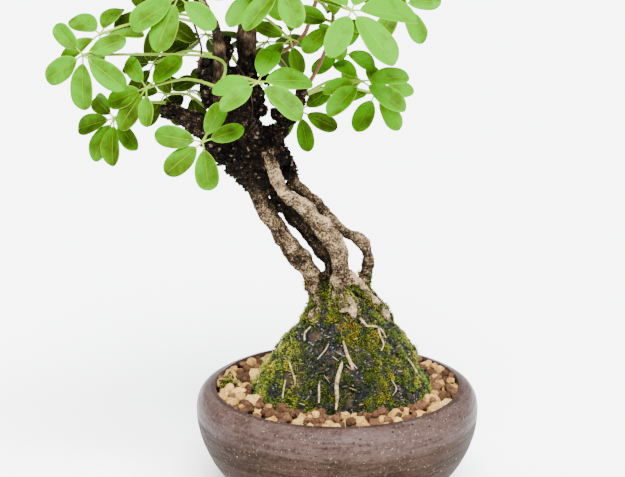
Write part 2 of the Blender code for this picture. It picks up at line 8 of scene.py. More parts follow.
# %% Load the frame
import bpy
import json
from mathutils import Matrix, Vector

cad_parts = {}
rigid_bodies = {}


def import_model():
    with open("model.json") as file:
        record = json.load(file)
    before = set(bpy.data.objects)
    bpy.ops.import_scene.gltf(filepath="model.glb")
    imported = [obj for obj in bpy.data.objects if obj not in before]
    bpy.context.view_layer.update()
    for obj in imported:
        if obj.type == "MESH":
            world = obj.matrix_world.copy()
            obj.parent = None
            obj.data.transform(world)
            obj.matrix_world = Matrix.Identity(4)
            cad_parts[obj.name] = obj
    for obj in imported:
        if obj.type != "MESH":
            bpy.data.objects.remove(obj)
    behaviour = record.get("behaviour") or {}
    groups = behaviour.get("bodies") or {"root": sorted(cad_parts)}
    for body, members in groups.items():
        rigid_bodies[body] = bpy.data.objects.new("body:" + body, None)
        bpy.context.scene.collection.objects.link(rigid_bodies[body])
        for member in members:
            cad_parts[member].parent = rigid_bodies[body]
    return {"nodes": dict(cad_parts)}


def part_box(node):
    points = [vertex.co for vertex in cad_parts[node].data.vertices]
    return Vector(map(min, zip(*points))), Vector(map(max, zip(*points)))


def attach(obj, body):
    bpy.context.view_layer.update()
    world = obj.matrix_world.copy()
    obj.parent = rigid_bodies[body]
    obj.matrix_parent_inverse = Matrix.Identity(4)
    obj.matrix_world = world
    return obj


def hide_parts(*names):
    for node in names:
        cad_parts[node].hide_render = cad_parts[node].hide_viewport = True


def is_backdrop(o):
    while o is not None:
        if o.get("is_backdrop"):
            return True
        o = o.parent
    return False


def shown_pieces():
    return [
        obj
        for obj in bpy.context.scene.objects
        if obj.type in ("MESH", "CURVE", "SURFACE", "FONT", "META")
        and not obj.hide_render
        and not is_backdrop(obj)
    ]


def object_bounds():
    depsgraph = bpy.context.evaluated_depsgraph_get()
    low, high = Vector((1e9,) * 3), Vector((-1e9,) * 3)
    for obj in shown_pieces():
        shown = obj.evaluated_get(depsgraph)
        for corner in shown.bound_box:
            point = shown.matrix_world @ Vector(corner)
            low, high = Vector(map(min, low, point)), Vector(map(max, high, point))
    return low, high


for thing in list(bpy.data.objects):
    bpy.data.objects.remove(thing)
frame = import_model()
CAD_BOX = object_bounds()
print("solids:", len(frame["nodes"]), "box in mm:", [[round(v * 1000, 1) for v in corner] for corner in CAD_BOX])

# %% Tools
import json
import math
import random
from collections import namedtuple

import bmesh
import numpy as np
from mathutils import Matrix, Vector, noise
from mathutils.bvhtree import BVHTree

MM = 0.001

# %% [markdown]
# ## Where the pot stands
#
# Every measure below is in millimetres from the pot's axis, the way the plant was drawn up. The part
# itself stands with the middle of its box over the origin, so the pot's solid tells how far its axis is
# from there.

# %% The pot's axis
pot_low, pot_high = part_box("pot")
AXIS = (pot_low + pot_high) / 2
AXIS.z = 0
print("pot's axis in mm:", round(AXIS.x / MM, 2), round(AXIS.y / MM, 2))


def vec(x, y, z):
    """A point given in millimetres."""
    return Vector((x, y, z)) * MM


# %% [markdown]
# ## The camera and the room
#
# The photograph looks down at the bowl at about 15 degrees, from about a metre away, with a long lens. It
# was taken against white, with a very soft shadow. A white floor, a white world, one wide soft light from
# the front and a small cool one from the right give the same.

# %% Camera
CAMERA_AIM = (-14, 0, 159)
CAMERA_PITCH = 15
CAMERA_REACH = 1000
CAMERA_LENS = 103.65

pitch = math.radians(CAMERA_PITCH)
camera = bpy.data.objects.new("camera", bpy.data.cameras.new("camera"))
bpy.context.scene.collection.objects.link(camera)
camera.data.lens = CAMERA_LENS
camera.data.sensor_width = 36
backwards = Vector((0, -math.cos(pitch), math.sin(pitch)))
camera.location = AXIS + vec(*CAMERA_AIM) + backwards * CAMERA_REACH * MM
camera.rotation_euler = (-backwards).to_track_quat("-Z", "Y").to_euler()
bpy.context.scene.camera = camera
print("camera at", [round(v, 3) for v in camera.location])

# %% Floor
FLOOR_SIDE = 12

bm = bmesh.new()
bmesh.ops.create_grid(bm, x_segments=1, y_segments=1, size=FLOOR_SIDE / 2)
floor_mesh = bpy.data.meshes.new("floor")
bm.to_mesh(floor_mesh)
bm.free()
floor = bpy.data.objects.new("floor", floor_mesh)
floor.location = (0, 0, -0.0004)
bpy.context.scene.collection.objects.link(floor)
floor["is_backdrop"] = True

# %% Lights
WORLD_COLOUR = (0.93, 0.96, 1.0)
WORLD_STRENGTH = 1.1
SUN_FROM = (0.04, -0.74, 1.0)
SUN_STRENGTH = 24
SUN_SPREAD = 34
SHEEN_FROM = (0.50, -0.41, 0.77)
SHEEN_STRENGTH = 5.0
SHEEN_COLOUR = (0.78, 0.88, 1.0)
SHEEN_SPREAD = 14

world = bpy.data.worlds.new("studio")
bpy.context.scene.world = world
world.use_nodes = True
world.node_tree.nodes["Background"].inputs["Color"].default_value = (*WORLD_COLOUR, 1)
world.node_tree.nodes["Background"].inputs["Strength"].default_value = WORLD_STRENGTH
for name, comes_from, strength, spread, colour in (("wide light", SUN_FROM, SUN_STRENGTH, SUN_SPREAD, (1, 1, 1)),
                                                   ("sheen light", SHEEN_FROM, SHEEN_STRENGTH, SHEEN_SPREAD, SHEEN_COLOUR)):
    lamp = bpy.data.lights.new(name, "SUN")
    lamp.color = colour
    lamp.energy = strength
    lamp.angle = math.radians(spread)
    window = bpy.data.objects.new(name, lamp)
    window.rotation_euler = Vector(comes_from).to_track_quat("Z", "Y").to_euler()
    bpy.context.scene.collection.objects.link(window)
    print(name, "from", comes_from, "spread over", spread, "degrees")

# %% [markdown]
# ## Writing a finish as sums
#
# A finish is a network of small nodes. Written one by one they fill pages, so one class wraps a socket
# and lets it be added and multiplied like a number, and another makes any other node from its kind, its
# settings and its inputs.

# %% Shader sums
class Wire:
    """One output of a finish's network. Sums on it add the nodes that work them out."""

    def __init__(self, finish, socket):
        self.finish = finish
        self.socket = socket

    def maths(self, operation, *others):
        values = dict(enumerate((self,) + others))
        return self.finish.node("Math", {"operation": operation}, values)

    def __add__(self, other):
        return self.maths("ADD", other)

    def __sub__(self, other):
        return self.maths("SUBTRACT", other)

    def __mul__(self, other):
        return self.maths("MULTIPLY", other)

    def __truediv__(self, other):
        return self.maths("DIVIDE", other)

    def __pow__(self, other):
        return self.maths("POWER", other)

    def __rsub__(self, other):
        return self.finish.node("Math", {"operation": "SUBTRACT"}, {0: other, 1: self})

    __radd__ = __add__
    __rmul__ = __mul__

    def between(self, low, high):
        """0 up to low, 1 from high on, and a soft step between them."""
        return self.finish.node("MapRange", {"interpolation_type": "SMOOTHSTEP"}, {0: self, 1: low, 2: high})


class Finish:
    """A material with one Principled shader."""

    def __init__(self, name, **constants):
        self.material = bpy.data.materials.new(name)
        self.material.use_nodes = True
        self.tree = self.material.node_tree
        self.shader = self.tree.nodes["Principled BSDF"]
        for socket, value in constants.items():
            self.shader.inputs[socket.replace("_", " ")].default_value = value
        self.place = self.node("TexCoord", {}, {}, "Object")

    def place_from(self, centre):
        """The place, measured from a point."""
        return self.node("VectorMath", {"operation": "SUBTRACT"}, {0: self.place, 1: tuple(centre)}, "Vector")

    def apart(self, vector):
        """A vector's three numbers."""
        split = self.node("SeparateXYZ", {}, {"Vector": vector}, "X")
        return [Wire(self, split.socket.node.outputs[axis]) for axis in "XYZ"]

    def node(self, kind, settings, sockets, out=0):
        made = self.tree.nodes.new("ShaderNode" + kind)
        for key, value in settings.items():
            if key == "stops":
                while len(made.color_ramp.elements) < len(value):
                    made.color_ramp.elements.new(0.5)
                for stop, (position, colour) in zip(made.color_ramp.elements, value):
                    stop.position = position
                    stop.color = (*colour, 1)
            else:
                setattr(made, key, value)
        for key, value in sockets.items():
            if isinstance(value, Wire):
                self.tree.links.new(value.socket, made.inputs[key])
            elif isinstance(value, tuple) and len(value) == 3 and len(made.inputs[key].default_value) == 4:
                made.inputs[key].default_value = (*value, 1)
            else:
                made.inputs[key].default_value = value
        return Wire(self, made.outputs[out])

    def noise(self, scale, detail=4, rough=0.55, where=None, out=0):
        """Cloudy noise. The scale is in clouds for each metre."""
        return self.node("TexNoise", {}, {"Vector": where or self.place, "Scale": scale, "Detail": detail, "Roughness": rough}, out)

    def cells(self, scale, feature="F1", out="Distance", jitter=1.0, where=None):
        """Cells round scattered points, and how far each place is from its point."""
        return self.node("TexVoronoi", {"feature": feature}, {"Vector": where or self.place, "Scale": scale, "Randomness": jitter}, out)

    def mix(self, share, first, second, blend="MIX"):
        """Colours mixed by a share."""
        return self.node("Mix", {"data_type": "RGBA", "blend_type": blend}, {0: share, 6: first, 7: second}, 2)

    def ramp(self, share, stops):
        return self.node("ValToRGB", {"stops": stops}, {0: share}, 0)

    def stretched(self, x, y, z):
        """The place with each axis stretched, for grain that runs one way."""
        return self.node("Mapping", {}, {"Vector": self.place, "Scale": (x, y, z)})

    def trait(self, name):
        """A value that the piece's own points carry."""
        return self.node("Attribute", {"attribute_name": name}, {}, "Fac")

    def wear(self, colour=None, roughness=None, height=None, depth=0.001):
        """Join what varies over the surface to the shader."""
        if colour:
            self.tree.links.new(colour.socket, self.shader.inputs["Base Color"])
        if roughness:
            self.tree.links.new(roughness.socket, self.shader.inputs["Roughness"])
        if height:
            bump = self.node("Bump", {}, {"Height": height, "Distance": depth, "Strength": 1.0}, "Normal")
            self.tree.links.new(bump.socket, self.shader.inputs["Normal"])
        return self.material


paper = Finish("paper", Roughness=0.9, Specular_IOR_Level=0.0)
floor.data.materials.append(paper.wear(paper.mix(paper.noise(3), (0.85, 0.85, 0.85), (0.88, 0.88, 0.875))))

# %% [markdown]
# ## Keeping a piece
#
# A finished piece lies in the part's own frame: its mesh is moved over from the pot's axis, its object
# stays at the origin, and it rides on the part's one body. Where it stands for a solid, that solid is
# hidden.

# %% Keep a piece
def from_bmesh(name, bm):
    """A plain object from a bmesh."""
    mesh = bpy.data.meshes.new(name)
    bm.to_mesh(mesh)
    bm.free()
    made = bpy.data.objects.new(name, mesh)
    bpy.context.scene.collection.objects.link(made)
    return made


def applied(piece):
    """The piece with its modifiers worked into its mesh."""
    seen = piece.evaluated_get(bpy.context.evaluated_depsgraph_get())
    mesh = bpy.data.meshes.new_from_object(seen, preserve_all_data_layers=True, depsgraph=bpy.context.evaluated_depsgraph_get())
    name = piece.name
    bpy.data.objects.remove(piece)
    made = bpy.data.objects.new(name, mesh)
    bpy.context.scene.collection.objects.link(made)
    return made


def keep(piece, materials, solids, smooth=True):
    """Finish a piece: its materials, its place, its body and the solids that it stands for."""
    for material in materials:
        piece.data.materials.append(material)
    piece.data.transform(Matrix.Translation(AXIS))
    if smooth:
        piece.data.shade_smooth()
    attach(piece, "root")
    if solids:
        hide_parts(*solids)
    triangles = sum(len(face.vertices) - 2 for face in piece.data.polygons)
    print(piece.name, "triangles:", triangles)
    return piece


def trait(piece, name, values):
    """Store one value for each of the piece's points."""
    layer = piece.data.attributes.new(name, "FLOAT", "POINT")
    layer.data.foreach_set("value", np.asarray(values, dtype=np.float32))


# %% [markdown]
# ## The bowl
#
# The bowl is thrown on a wheel from dark clay with sand in it, and fired without glaze. A profile turned
# round an axis is just how the potter made it, so it is spun, from a profile that is first drawn smooth
# through a few measured points. The thrower's fingers leave faint rings, which are real geometry here.

# %% The bowl's profile
POT_OUTER = [(70, 74), (75.5, 71.8), (79.2, 66.5), (80, 58), (77.8, 46), (71, 31.5), (60, 19), (48, 10), (45.5, 0)]
POT_INNER = [(36, 11), (46, 15), (56, 24), (65.5, 35.5), (71.3, 47), (73.2, 57), (71.4, 67), (68.4, 72.5)]
POT_STEPS = 200


def smooth_line(points, steps):
    """A curve that passes through all the points, whatever their number of coordinates."""
    ends = [points[0]] + list(points) + [points[-1]]
    line = []
    for a, b, c, d in zip(ends[:-3], ends[1:-2], ends[2:-1], ends[3:]):
        for step in range(steps):
            t = step / steps
            line.append(tuple(0.5 * (2 * q + (r - p) * t + (2 * p - 5 * q + 4 * r - s) * t * t + (3 * q - p - 3 * r + s) * t ** 3)
                              for p, q, r, s in zip(a, b, c, d)))
    return line + [tuple(points[-1])]


outer_wall = smooth_line([(69.0, 73.7)] + POT_OUTER[:-1], 7)
foot_ring = [(47.2, 8.2), (46.2, 6), (45.5, 1.2), (44.6, 0), (40.4, 0), (39.5, 0.8), (38.5, 4), (30, 4.3)]
drain = [(8.6, 5), (7.5, 5.8), (7.5, 10.2), (8.4, 11)]
inner_wall = smooth_line([(30, 11)] + POT_INNER, 5)
pot_profile = outer_wall + foot_ring + drain + inner_wall
print("profile points:", len(pot_profile))

# %% Throw the bowl
RING_DEPTH = 0.07
UNEVEN = 0.5


def spun(profile, steps, closed):
    """A bmesh turned round the upright axis from a profile of (radius, height) in millimetres."""
    bm = bmesh.new()
    points = [bm.verts.new(vec(r, 0, z)) for r, z in profile]
    edges = [bm.edges.new(pair) for pair in zip(points[:-1], points[1:])]
    if closed:
        edges.append(bm.edges.new((points[-1], points[0])))
    bmesh.ops.spin(bm, geom=points + edges, cent=(0, 0, 0), axis=(0, 0, 1), angle=math.tau, steps=steps, use_merge=True)
    bmesh.ops.remove_doubles(bm, verts=bm.verts, dist=0.00001)
    bmesh.ops.recalc_face_normals(bm, faces=bm.faces)
    return bm


bm = spun(pot_profile, POT_STEPS, True)
for vertex in bm.verts:
    radius = math.hypot(vertex.co.x, vertex.co.y)
    height = vertex.co.z / MM
    if radius > 44 * MM and height > 9:
        angle = math.atan2(vertex.co.y, vertex.co.x)
        rings = math.sin(height * 1.35 + 0.9 * math.sin(angle)) + 0.6 * math.sin(height * 0.62 + 1.4 * math.sin(angle + 2))
        push = (rings * RING_DEPTH + noise.noise(vertex.co * 26) * UNEVEN) * MM * min(1, (height - 9) / 8)
        vertex.co.x += push * vertex.co.x / radius
        vertex.co.y += push * vertex.co.y / radius
        vertex.co.z += noise.noise(vertex.co * 17) * 0.5 * MM * max(0, min(1, (height - 60) / 10))
bowl = from_bmesh("bowl", bm)

# %% [markdown]
# The clay fires to a purplish brown. Pale sand lies in it as scattered specks, a few grains have dropped
# out and left pits, and the turning tool has dragged bands of slightly different tone round it: browner
# below, and darkest inside the lip, where it was wiped with a wet sponge. The greyer band on the shoulder
# is a painted sheen.

# %% Stoneware
CLAY_DARK = (0.0072, 0.0038, 0.0023)
CLAY_BROWN = (0.0250, 0.0138, 0.0082)
CLAY_SHEEN_GREY = (0.046, 0.0290, 0.0265)
SAND = (0.40, 0.29, 0.20)
PIT = (0.004, 0.0025, 0.002)

clay = Finish("stoneware", Roughness=0.55, Specular_IOR_Level=0.03)
x, y, height = clay.apart(clay.place_from(AXIS))
radius = (x * x + y * y) ** 0.5
cloud = clay.noise(38, 5, 0.6)
streak = clay.noise(1, 4, 0.65, clay.stretched(60, 60, 620))
fine = clay.noise(560, 4, 0.75)
line = height + (cloud - 0.5) * 0.004
shoulder_sheen = line.between(0.0570, 0.0600) * 0.75 + line.between(0.0485, 0.0495) * 0.25
lip = 1 - (radius + (cloud - 0.5) * 0.0015).between(0.0712, 0.0722)
body = clay.mix((cloud - 0.5) * 1.2 + (streak - 0.5) * 2.2 + (fine - 0.5) * 2.6 + 0.52, CLAY_DARK, CLAY_BROWN)
# painted sheen: the shoulder band is mixed towards a lighter grey
body = clay.mix(shoulder_sheen * ((cloud - 0.5) * 0.8 + (streak - 0.5) * 1.4 + (fine - 0.5) * 1.6 + 0.5), body, CLAY_SHEEN_GREY)
body = clay.mix(lip * height.between(0.05, 0.06) * 0.6, body, CLAY_DARK)
sand = (1 - clay.cells(260).between(0.05, 0.12)) * clay.noise(150, 1).between(0.60, 0.64)
dust = (1 - clay.cells(850).between(0.12, 0.22)) * clay.noise(420, 1).between(0.54, 0.62)
pits = (1 - clay.cells(1, where=clay.stretched(170, 170, 420)).between(0.08, 0.15)) * clay.noise(120, 1).between(0.50, 0.56)
body = clay.mix(dust * 0.55, body, SAND)
body = clay.mix(sand * 0.9, body, SAND)
body = clay.mix(pits * 0.9, body, PIT)
relief = fine * 0.35 + streak * 0.5 + sand * 0.5 - pits * 2.2 + clay.noise(420, 3) * 0.35
stoneware = clay.wear(body, 0.64 - shoulder_sheen * 0.28 - streak * 0.2 + fine * 0.15, relief, 0.0006)
keep(bowl, [stoneware], ["pot"])

# %% [markdown]
# ## The net over the drain hole and the soil
#
# Both are hidden under the rest, so their solids stay as they are, and get a black plastic and a damp
# dark soil.

# %% Net and soil
net = Finish("net_plastic", Roughness=0.45)
net_black = net.wear(net.mix(net.noise(300), (0.012, 0.012, 0.012), (0.03, 0.03, 0.028)), height=net.noise(2500), depth=0.0001)
earth = Finish("damp_soil", Roughness=0.9, Specular_IOR_Level=0.05)
crumbs = earth.cells(420)
damp_soil = earth.wear(earth.mix(earth.noise(150, 6), (0.008, 0.006, 0.005), (0.035, 0.022, 0.013)), height=crumbs + earth.noise(900), depth=0.001)
for solid, material in (("drain_mesh", net_black), ("soil", damp_soil)):
    frame["nodes"][solid].data.materials.clear()
    frame["nodes"][solid].data.materials.append(material)

# %% [markdown]
# ## The mound
#
# The vine stands on a mound of soil that its roots hold together. The mound is a spun profile too,
# leaned a little and narrower from front to back than from side to side, then roughened with noise. Its
# skin lies a little under the solid's, because the moss that grows on it fills the rest.

# %% The mound's shape
SOIL_TOP = 63
MOUND_CENTRE = (2.5, 3.0)
MOUND_LEAN = 3.0
MOUND_DEPTH = 0.9
MOUND_PROFILE = [(10, 129.6), (17, 126.6), (20.5, 121), (24.5, 114), (31.5, 104.5), (39.5, 95), (45.6, 84), (51.2, 73)]
MOUND_FOOT = 52.2
MOSS_LUMP = 0.9
MOUND_LINE = [(0.01, 130.2)] + MOUND_PROFILE + [(MOUND_FOOT, SOIL_TOP + 0.3)]
MOSS_DEPTH = 1.9


def radius_at(profile, height):
    """The profile's radius at a height."""
    for (ra, za), (rb, zb) in zip(profile[:-1], profile[1:]):
        if min(za, zb) <= height <= max(za, zb):
            return ra + (rb - ra) * (height - za) / (zb - za)
    return profile[-1][0]


def to_mound(point, relief=0.0):
    """A point of the turned mound moved to where the mound stands, leans and is narrowed."""
    share = (point.z / MM - SOIL_TOP) / (MOUND_PROFILE[0][1] - SOIL_TOP)
    around = Vector((point.x, point.y, 0))
    if around.length > 1 * MM:
        around += around.normalized() * relief
    x = around.x + (MOUND_CENTRE[0] + MOUND_LEAN * share) * MM
    return Vector((x, around.y * MOUND_DEPTH + MOUND_CENTRE[1] * MM, point.z))


def moss_relief(point):
    """How far the moss swells here: soft lumps, dying out at its foot and its top."""
    angle = math.atan2(point.y, point.x)
    z = point.z / MM
    fade = max(0.0, min(1.0, (z - 76) / 8, (124 - z) / 6))
    lump = math.sin(3 * angle + z * 0.21) + 0.8 * math.sin(5 * angle - z * 0.33 + 1.0) + 0.5 * math.sin(8 * angle + z * 0.5)
    return MOSS_LUMP * MM * fade * lump


def clods(point):
    """How far the clods and crumbs of the mound stand out here."""
    coarse = noise.noise(point * 75) * 1.5
    middle = noise.noise(point * 230 + Vector((3, 1, 7))) * 1.5
    fine = noise.noise(point * 560) * 0.7
    return (coarse + middle + fine - MOSS_DEPTH) * MM


def on_mound(angle, height, out=0.0):
    """The point of the mound's skin at an angle round its middle and a height, and its outward direction."""
    radius = radius_at(MOUND_LINE, height) * MM
    here = Vector((radius * math.cos(angle), radius * math.sin(angle), height * MM))
    below = radius_at(MOUND_LINE, height - 1.5) * MM
    slope = Vector((math.cos(angle) * 1.5 * MM, math.sin(angle) * 1.5 * MM, below - radius)).normalized()
    place = to_mound(here, moss_relief(here))
    return place + slope * (out * MM + clods(place)), slope


def front_of_mound(x, height, out=0.0):
    """The same for a point of the mound's front, by how far it is to the right of the pot's axis."""
    share = (height - SOIL_TOP) / (MOUND_PROFILE[0][1] - SOIL_TOP)
    sideways = (x - MOUND_CENTRE[0] - MOUND_LEAN * share) / radius_at(MOUND_LINE, height)
    return on_mound(-math.acos(max(-1, min(1, sideways))), height, out)


# %% Spin the mound
MOUND_STEPS = 330

skin_line = smooth_line(MOUND_LINE, 9)
inner_line = [(max(0.01, r - 4.2), z - (4 if i < 3 else 0.4)) for i, (r, z) in enumerate(MOUND_LINE)]
inner_line[-1] = (MOUND_FOOT - 4.2, SOIL_TOP + 0.3)
bm = spun(skin_line + list(reversed(inner_line)), MOUND_STEPS, False)
for vertex in bm.verts:
    here = vertex.co.copy()
    outside = math.hypot(here.x, here.y) / MM > radius_at(MOUND_LINE, here.z / MM) - 0.9
    place = to_mound(here, moss_relief(here) if outside else 0.0)
    around = Vector((here.x, here.y, 25 * MM)).normalized()
    vertex.co = place + (around * clods(place) if outside else Vector())
mound = from_bmesh("moss_mound", bm)

# %% [markdown]
# Moss grows in patches. Fresh cushions are yellow-green, older ones darker, and between them the mound is
# bare: a blue-black crust of algae with crumbs of soil. A list of patches says where the front is green,
# bare or ochre, each as its place on the front, its size and its tone. The rest follows seeded noise.

# %% Where the moss grows
PATCHES = [
    (-3, 123, 8, 0.55), (4, 112, 5.5, 1.6), (-4, 100.5, 6, -0.8), (-16, 104, 5, -0.5), (-30, 97, 6, 0.4), (-36, 87, 7, 0.55),
    (-38, 77, 7, 0.3), (-24, 77, 9, 0.75), (-12, 82, 5, -0.3), (-5, 86, 5, -0.25), (8, 78, 8, -0.75), (15, 94, 6, -0.5),
    (13, 109, 7, 0.45), (21, 97, 9, 0.6), (25, 77, 9, 0.55), (29, 107, 7, -0.6), (38, 90, 7, -0.3), (36, 78, 8, -0.35), (3, 94, 5, 0.3),
    (9, 121, 5, -0.2),
]


def moss_tone(point):
    """From 0 for bare crust through 0.5 for green moss to 1 for ochre."""
    tone = 0.42 + 0.36 * noise.noise(point * 62 + Vector((4, 4, 4))) + 0.46 * noise.noise(point * 170)
    for x, height, size, lift in PATCHES:
        if point.y < 6 * MM:
            away = math.hypot(point.x / MM - x, point.z / MM - height) / size
            tone += lift * 0.34 * math.exp(-away * away)
    return max(0.0, min(1.0, tone))


print("tone at the top of the front:", round(moss_tone(front_of_mound(-3, 123)[0]), 2))

# %% Bare crust
CRUST_BLACK = (0.0022, 0.0022, 0.0026)
CRUST_BLUE = (0.0078, 0.0085, 0.0102)
CRUST_BROWN = (0.028, 0.016, 0.008)
CRUST_GREEN = (0.008, 0.012, 0.002)

trait(mound, "tone", [moss_tone(v.co) for v in mound.data.vertices])
crust = Finish("moss_crust", Roughness=0.7, Specular_IOR_Level=0.08)
grain = crust.cells(900, out="Color")
dirt = crust.mix(crust.noise(480, 4, 0.7).between(0.42, 0.62), CRUST_BLACK, CRUST_BLUE)
dirt = crust.mix(crust.noise(260, 3).between(0.52, 0.66) * 0.8, dirt, CRUST_BROWN)
dirt = crust.mix(crust.trait("tone").between(0.35, 0.7) * 0.9, dirt, CRUST_GREEN)
mound_finish = crust.wear(dirt, 0.75 - crust.noise(700, 2).between(0.5, 0.7) * 0.4, crust.cells(700) + crust.noise(1500, 3), 0.0012)
keep(mound, [mound_finish], ["moss_cover"])

# %% [markdown]
# ## The gravel
#
# The soil round the mound is dressed with pumice and fired clay, in grains of four to ten millimetres.
# The grains are dropped one after another: each tries a few seeded spots and stays at the lowest, on
# those under it, which packs them as loosely as real ones. A grain is a ball of 80 faces knocked out of
# round, made a few times and stamped at every place. Stamping a ready shape is quick, and it keeps the
# count of faces low.

# %% Stamp a small shape
def scatter(name, template, places, shades):
    """One piece of a small shape stamped at each of the places, with a shade for each stamp."""
    shape = bpy.data.meshes.new("template")
    template.to_mesh(shape)
    template.free()
    bm = bmesh.new()
    for place in places:
        stamp = shape.copy()
        stamp.transform(place)
        bm.from_mesh(stamp)
        bpy.data.meshes.remove(stamp)
    piece = from_bmesh(name, bm)
    trait(piece, "shade", np.repeat(shades, len(shape.vertices)))
    bpy.data.meshes.remove(shape)
    return piece


def joined(name, pieces):
    """Several plain objects as one."""
    bm = bmesh.new()
    for piece in pieces:
        bm.from_mesh(piece.data)
        bpy.data.objects.remove(piece)
    return from_bmesh(name, bm)


# %% Drop the grains
BED_LEVEL = 67.0
GRAIN_SIZES = ((4.2, 5.2, 40), (3.2, 4.2, 95), (2.4, 3.2, 120), (1.6, 2.4, 120))
RED_SHARES = ((4.0, 0.22), (3.2, 0.42), (2.4, 0.66), (0.0, 0.80))
RIM_ROOM = 70.6
GRAIN_TRIES = 16


def lies_at(x, y, radius, heap):
    """The height at which a grain comes to rest here."""
    level = BED_LEVEL + radius * 0.42
    for a, b, c, other in heap:
        apart = math.hypot(x - a, y - b)
        touch = (radius + other) * 0.95
        if apart < touch:
            level = max(level, c + math.sqrt(touch * touch - apart * apart) * 0.8)
    return level


rng = random.Random(8)
heap = []
for low, high, count in GRAIN_SIZES:
    for _ in range(count):
        radius = rng.uniform(low, high)
        best = None
        for _ in range(GRAIN_TRIES):
            angle = rng.uniform(0, math.tau)
            reach = rng.uniform(41, RIM_ROOM - radius)
            x, y = reach * math.cos(angle), reach * math.sin(angle)
            side = math.hypot(x - MOUND_CENTRE[0], (y - MOUND_CENTRE[1]) / MOUND_DEPTH)
            if side < MOUND_FOOT - 1.5 + radius * 0.75:
                continue
            level = lies_at(x, y, radius, heap)
            if best is None or level < best[0]:
                best = (level, x, y)
        if best and best[0] + radius * 0.8 < 74.5:
            heap.append((best[1], best[2], best[0], radius))
print("grains:", len(heap), "highest:", round(max(c + r for _, _, c, r in heap), 1))

# %% [markdown]
# Pumice is cream, full of tiny holes and stained ochre; fired clay is red-brown and denser. Both are dry
# and quite matt. Each grain is painted darker towards its bottom, as the shade in the gaps between grains.

# %% Grain finishes
GRAIN_PAINTED_SHADE = (0.010, 0.006, 0.004)


def grain_finish(name, pale, deep, stain):
    finish = Finish(name, Roughness=0.9, Specular_IOR_Level=0.04)
    base = finish.mix(finish.trait("shade"), pale, deep)
    base = finish.mix(finish.noise(210, 4, 0.65).between(0.42, 0.72) * 0.8, base, stain)
    holes = 1 - finish.cells(1300).between(0.08, 0.40)
    base = finish.mix(holes * finish.noise(600).between(0.45, 0.6) * 0.8, base, stain)
    # painted shade: each grain's colour darkens towards its bottom
    base = finish.mix(0.85 - finish.trait("rise").between(0.05, 0.62) * 0.85, base, GRAIN_PAINTED_SHADE)
    return finish.wear(base, height=finish.noise(620, 4, 0.7) * 1.4 - holes * 0.7, depth=0.0022)


pumice = grain_finish("pumice", (0.50, 0.315, 0.090), (0.30, 0.160, 0.042), (0.12, 0.048, 0.014))
fired = grain_finish("fired_clay", (0.140, 0.065, 0.031), (0.048, 0.023, 0.012), (0.022, 0.010, 0.005))

# %% Shape the grains
GRAIN_KINDS = 5


def rough_ball(kind):
    """A ball of 80 faces knocked out of round, with flat places and corners."""
    bm = bmesh.new()
    bmesh.ops.create_icosphere(bm, subdivisions=2, radius=1)
    for vertex in bm.verts:
        push = 0.34 * noise.noise(vertex.co * 1.3 + Vector((kind * 5.3, kind * 1.7, 0)))
        push += 0.26 * noise.noise(vertex.co * 2.6 + Vector((0, kind * 3.1, 2)))
        boxy = 1 / max(abs(v) for v in vertex.co.normalized()) - 1
        vertex.co *= 1 + push + boxy * 0.45
        vertex.co.z *= 0.85
    return bm


rng = random.Random(14)
red_shares = [next(share for least, share in RED_SHARES if grain[3] >= least) for grain in heap]
grains = [(grain, "red" if rng.random() < share else "cream", rng.random()) for grain, share in zip(heap, red_shares)]
for tint, material in (("cream", pumice), ("red", fired)):
    kinds = []
    for kind in range(GRAIN_KINDS):
        mine = [(grain, pick) for grain, colour, pick in grains if colour == tint][kind::GRAIN_KINDS]
        places = []
        for (x, y, z, radius), _ in mine:
            turn = Matrix.Rotation(rng.uniform(0, math.tau), 4, "Z") @ Matrix.Rotation(rng.uniform(0, math.tau), 4, "X")
            places.append(Matrix.Translation(vec(x, y, z)) @ turn @ Matrix.Scale(radius * 0.95 * MM, 4))
        made = scatter("kind", rough_ball(kind + 1), places, [pick for _, pick in mine])
        heights = np.array([v.co.z for v in made.data.vertices]).reshape(len(mine), -1)
        trait(made, "rise", ((heights - heights.min(axis=1)[:, None]) / np.ptp(heights, axis=1)[:, None]).ravel())
        kinds.append(made)
    gravel = keep(joined("gravel_" + tint, kinds), [material], ["gravel"] if tint == "cream" else [], smooth=False)

# %% Grit under the grains
bm = spun([(72.0, 63.4), (71.5, 64.8), (69, 65.2), (66, 65.4), (63, 65.5), (60, 65.6), (57, 65.6), (54, 65.5), (50.5, 65.4), (47.5, 65.3), (47.5, 63.4)],
          260, True)
for vertex in bm.verts:
    radius = math.hypot(vertex.co.x, vertex.co.y)
    if radius < 51 * MM:
        vertex.co = to_mound(vertex.co)
    if vertex.co.z > 64.9 * MM and radius < 71 * MM:
        vertex.co.z += (noise.noise(vertex.co * 330) * 1.1 + noise.noise(vertex.co * 120)) * MM
bed = from_bmesh("gravel_bed", bm)
grit = Finish("grit", Roughness=0.92, Specular_IOR_Level=0.04)
# the bed stands for grit and is painted dark as the shade in the gaps between the grains
grit_and_gap_shade = grit.mix(grit.cells(520, out="Color"), (0.006, 0.0035, 0.002), (0.05, 0.024, 0.012))
bed_finish = grit.wear(grit_and_gap_shade, height=grit.cells(520), depth=0.0015)
keep(bed, [bed_finish], [])

# %% [markdown]
# ## The wood
#
# The roots were once under ground; lifted out year by year, they have thickened into legs that lean to
# the left and join in a dark knotted trunk. Each limb is a row of points with a radius, the same as in
# the part. Here every limb becomes a smooth tube, all tubes and burrs are fused by a voxel remesh, and
# the skin is then pushed in and out along its normals: knuckles and wrinkles on the roots, flaking chips
# on the trunk.

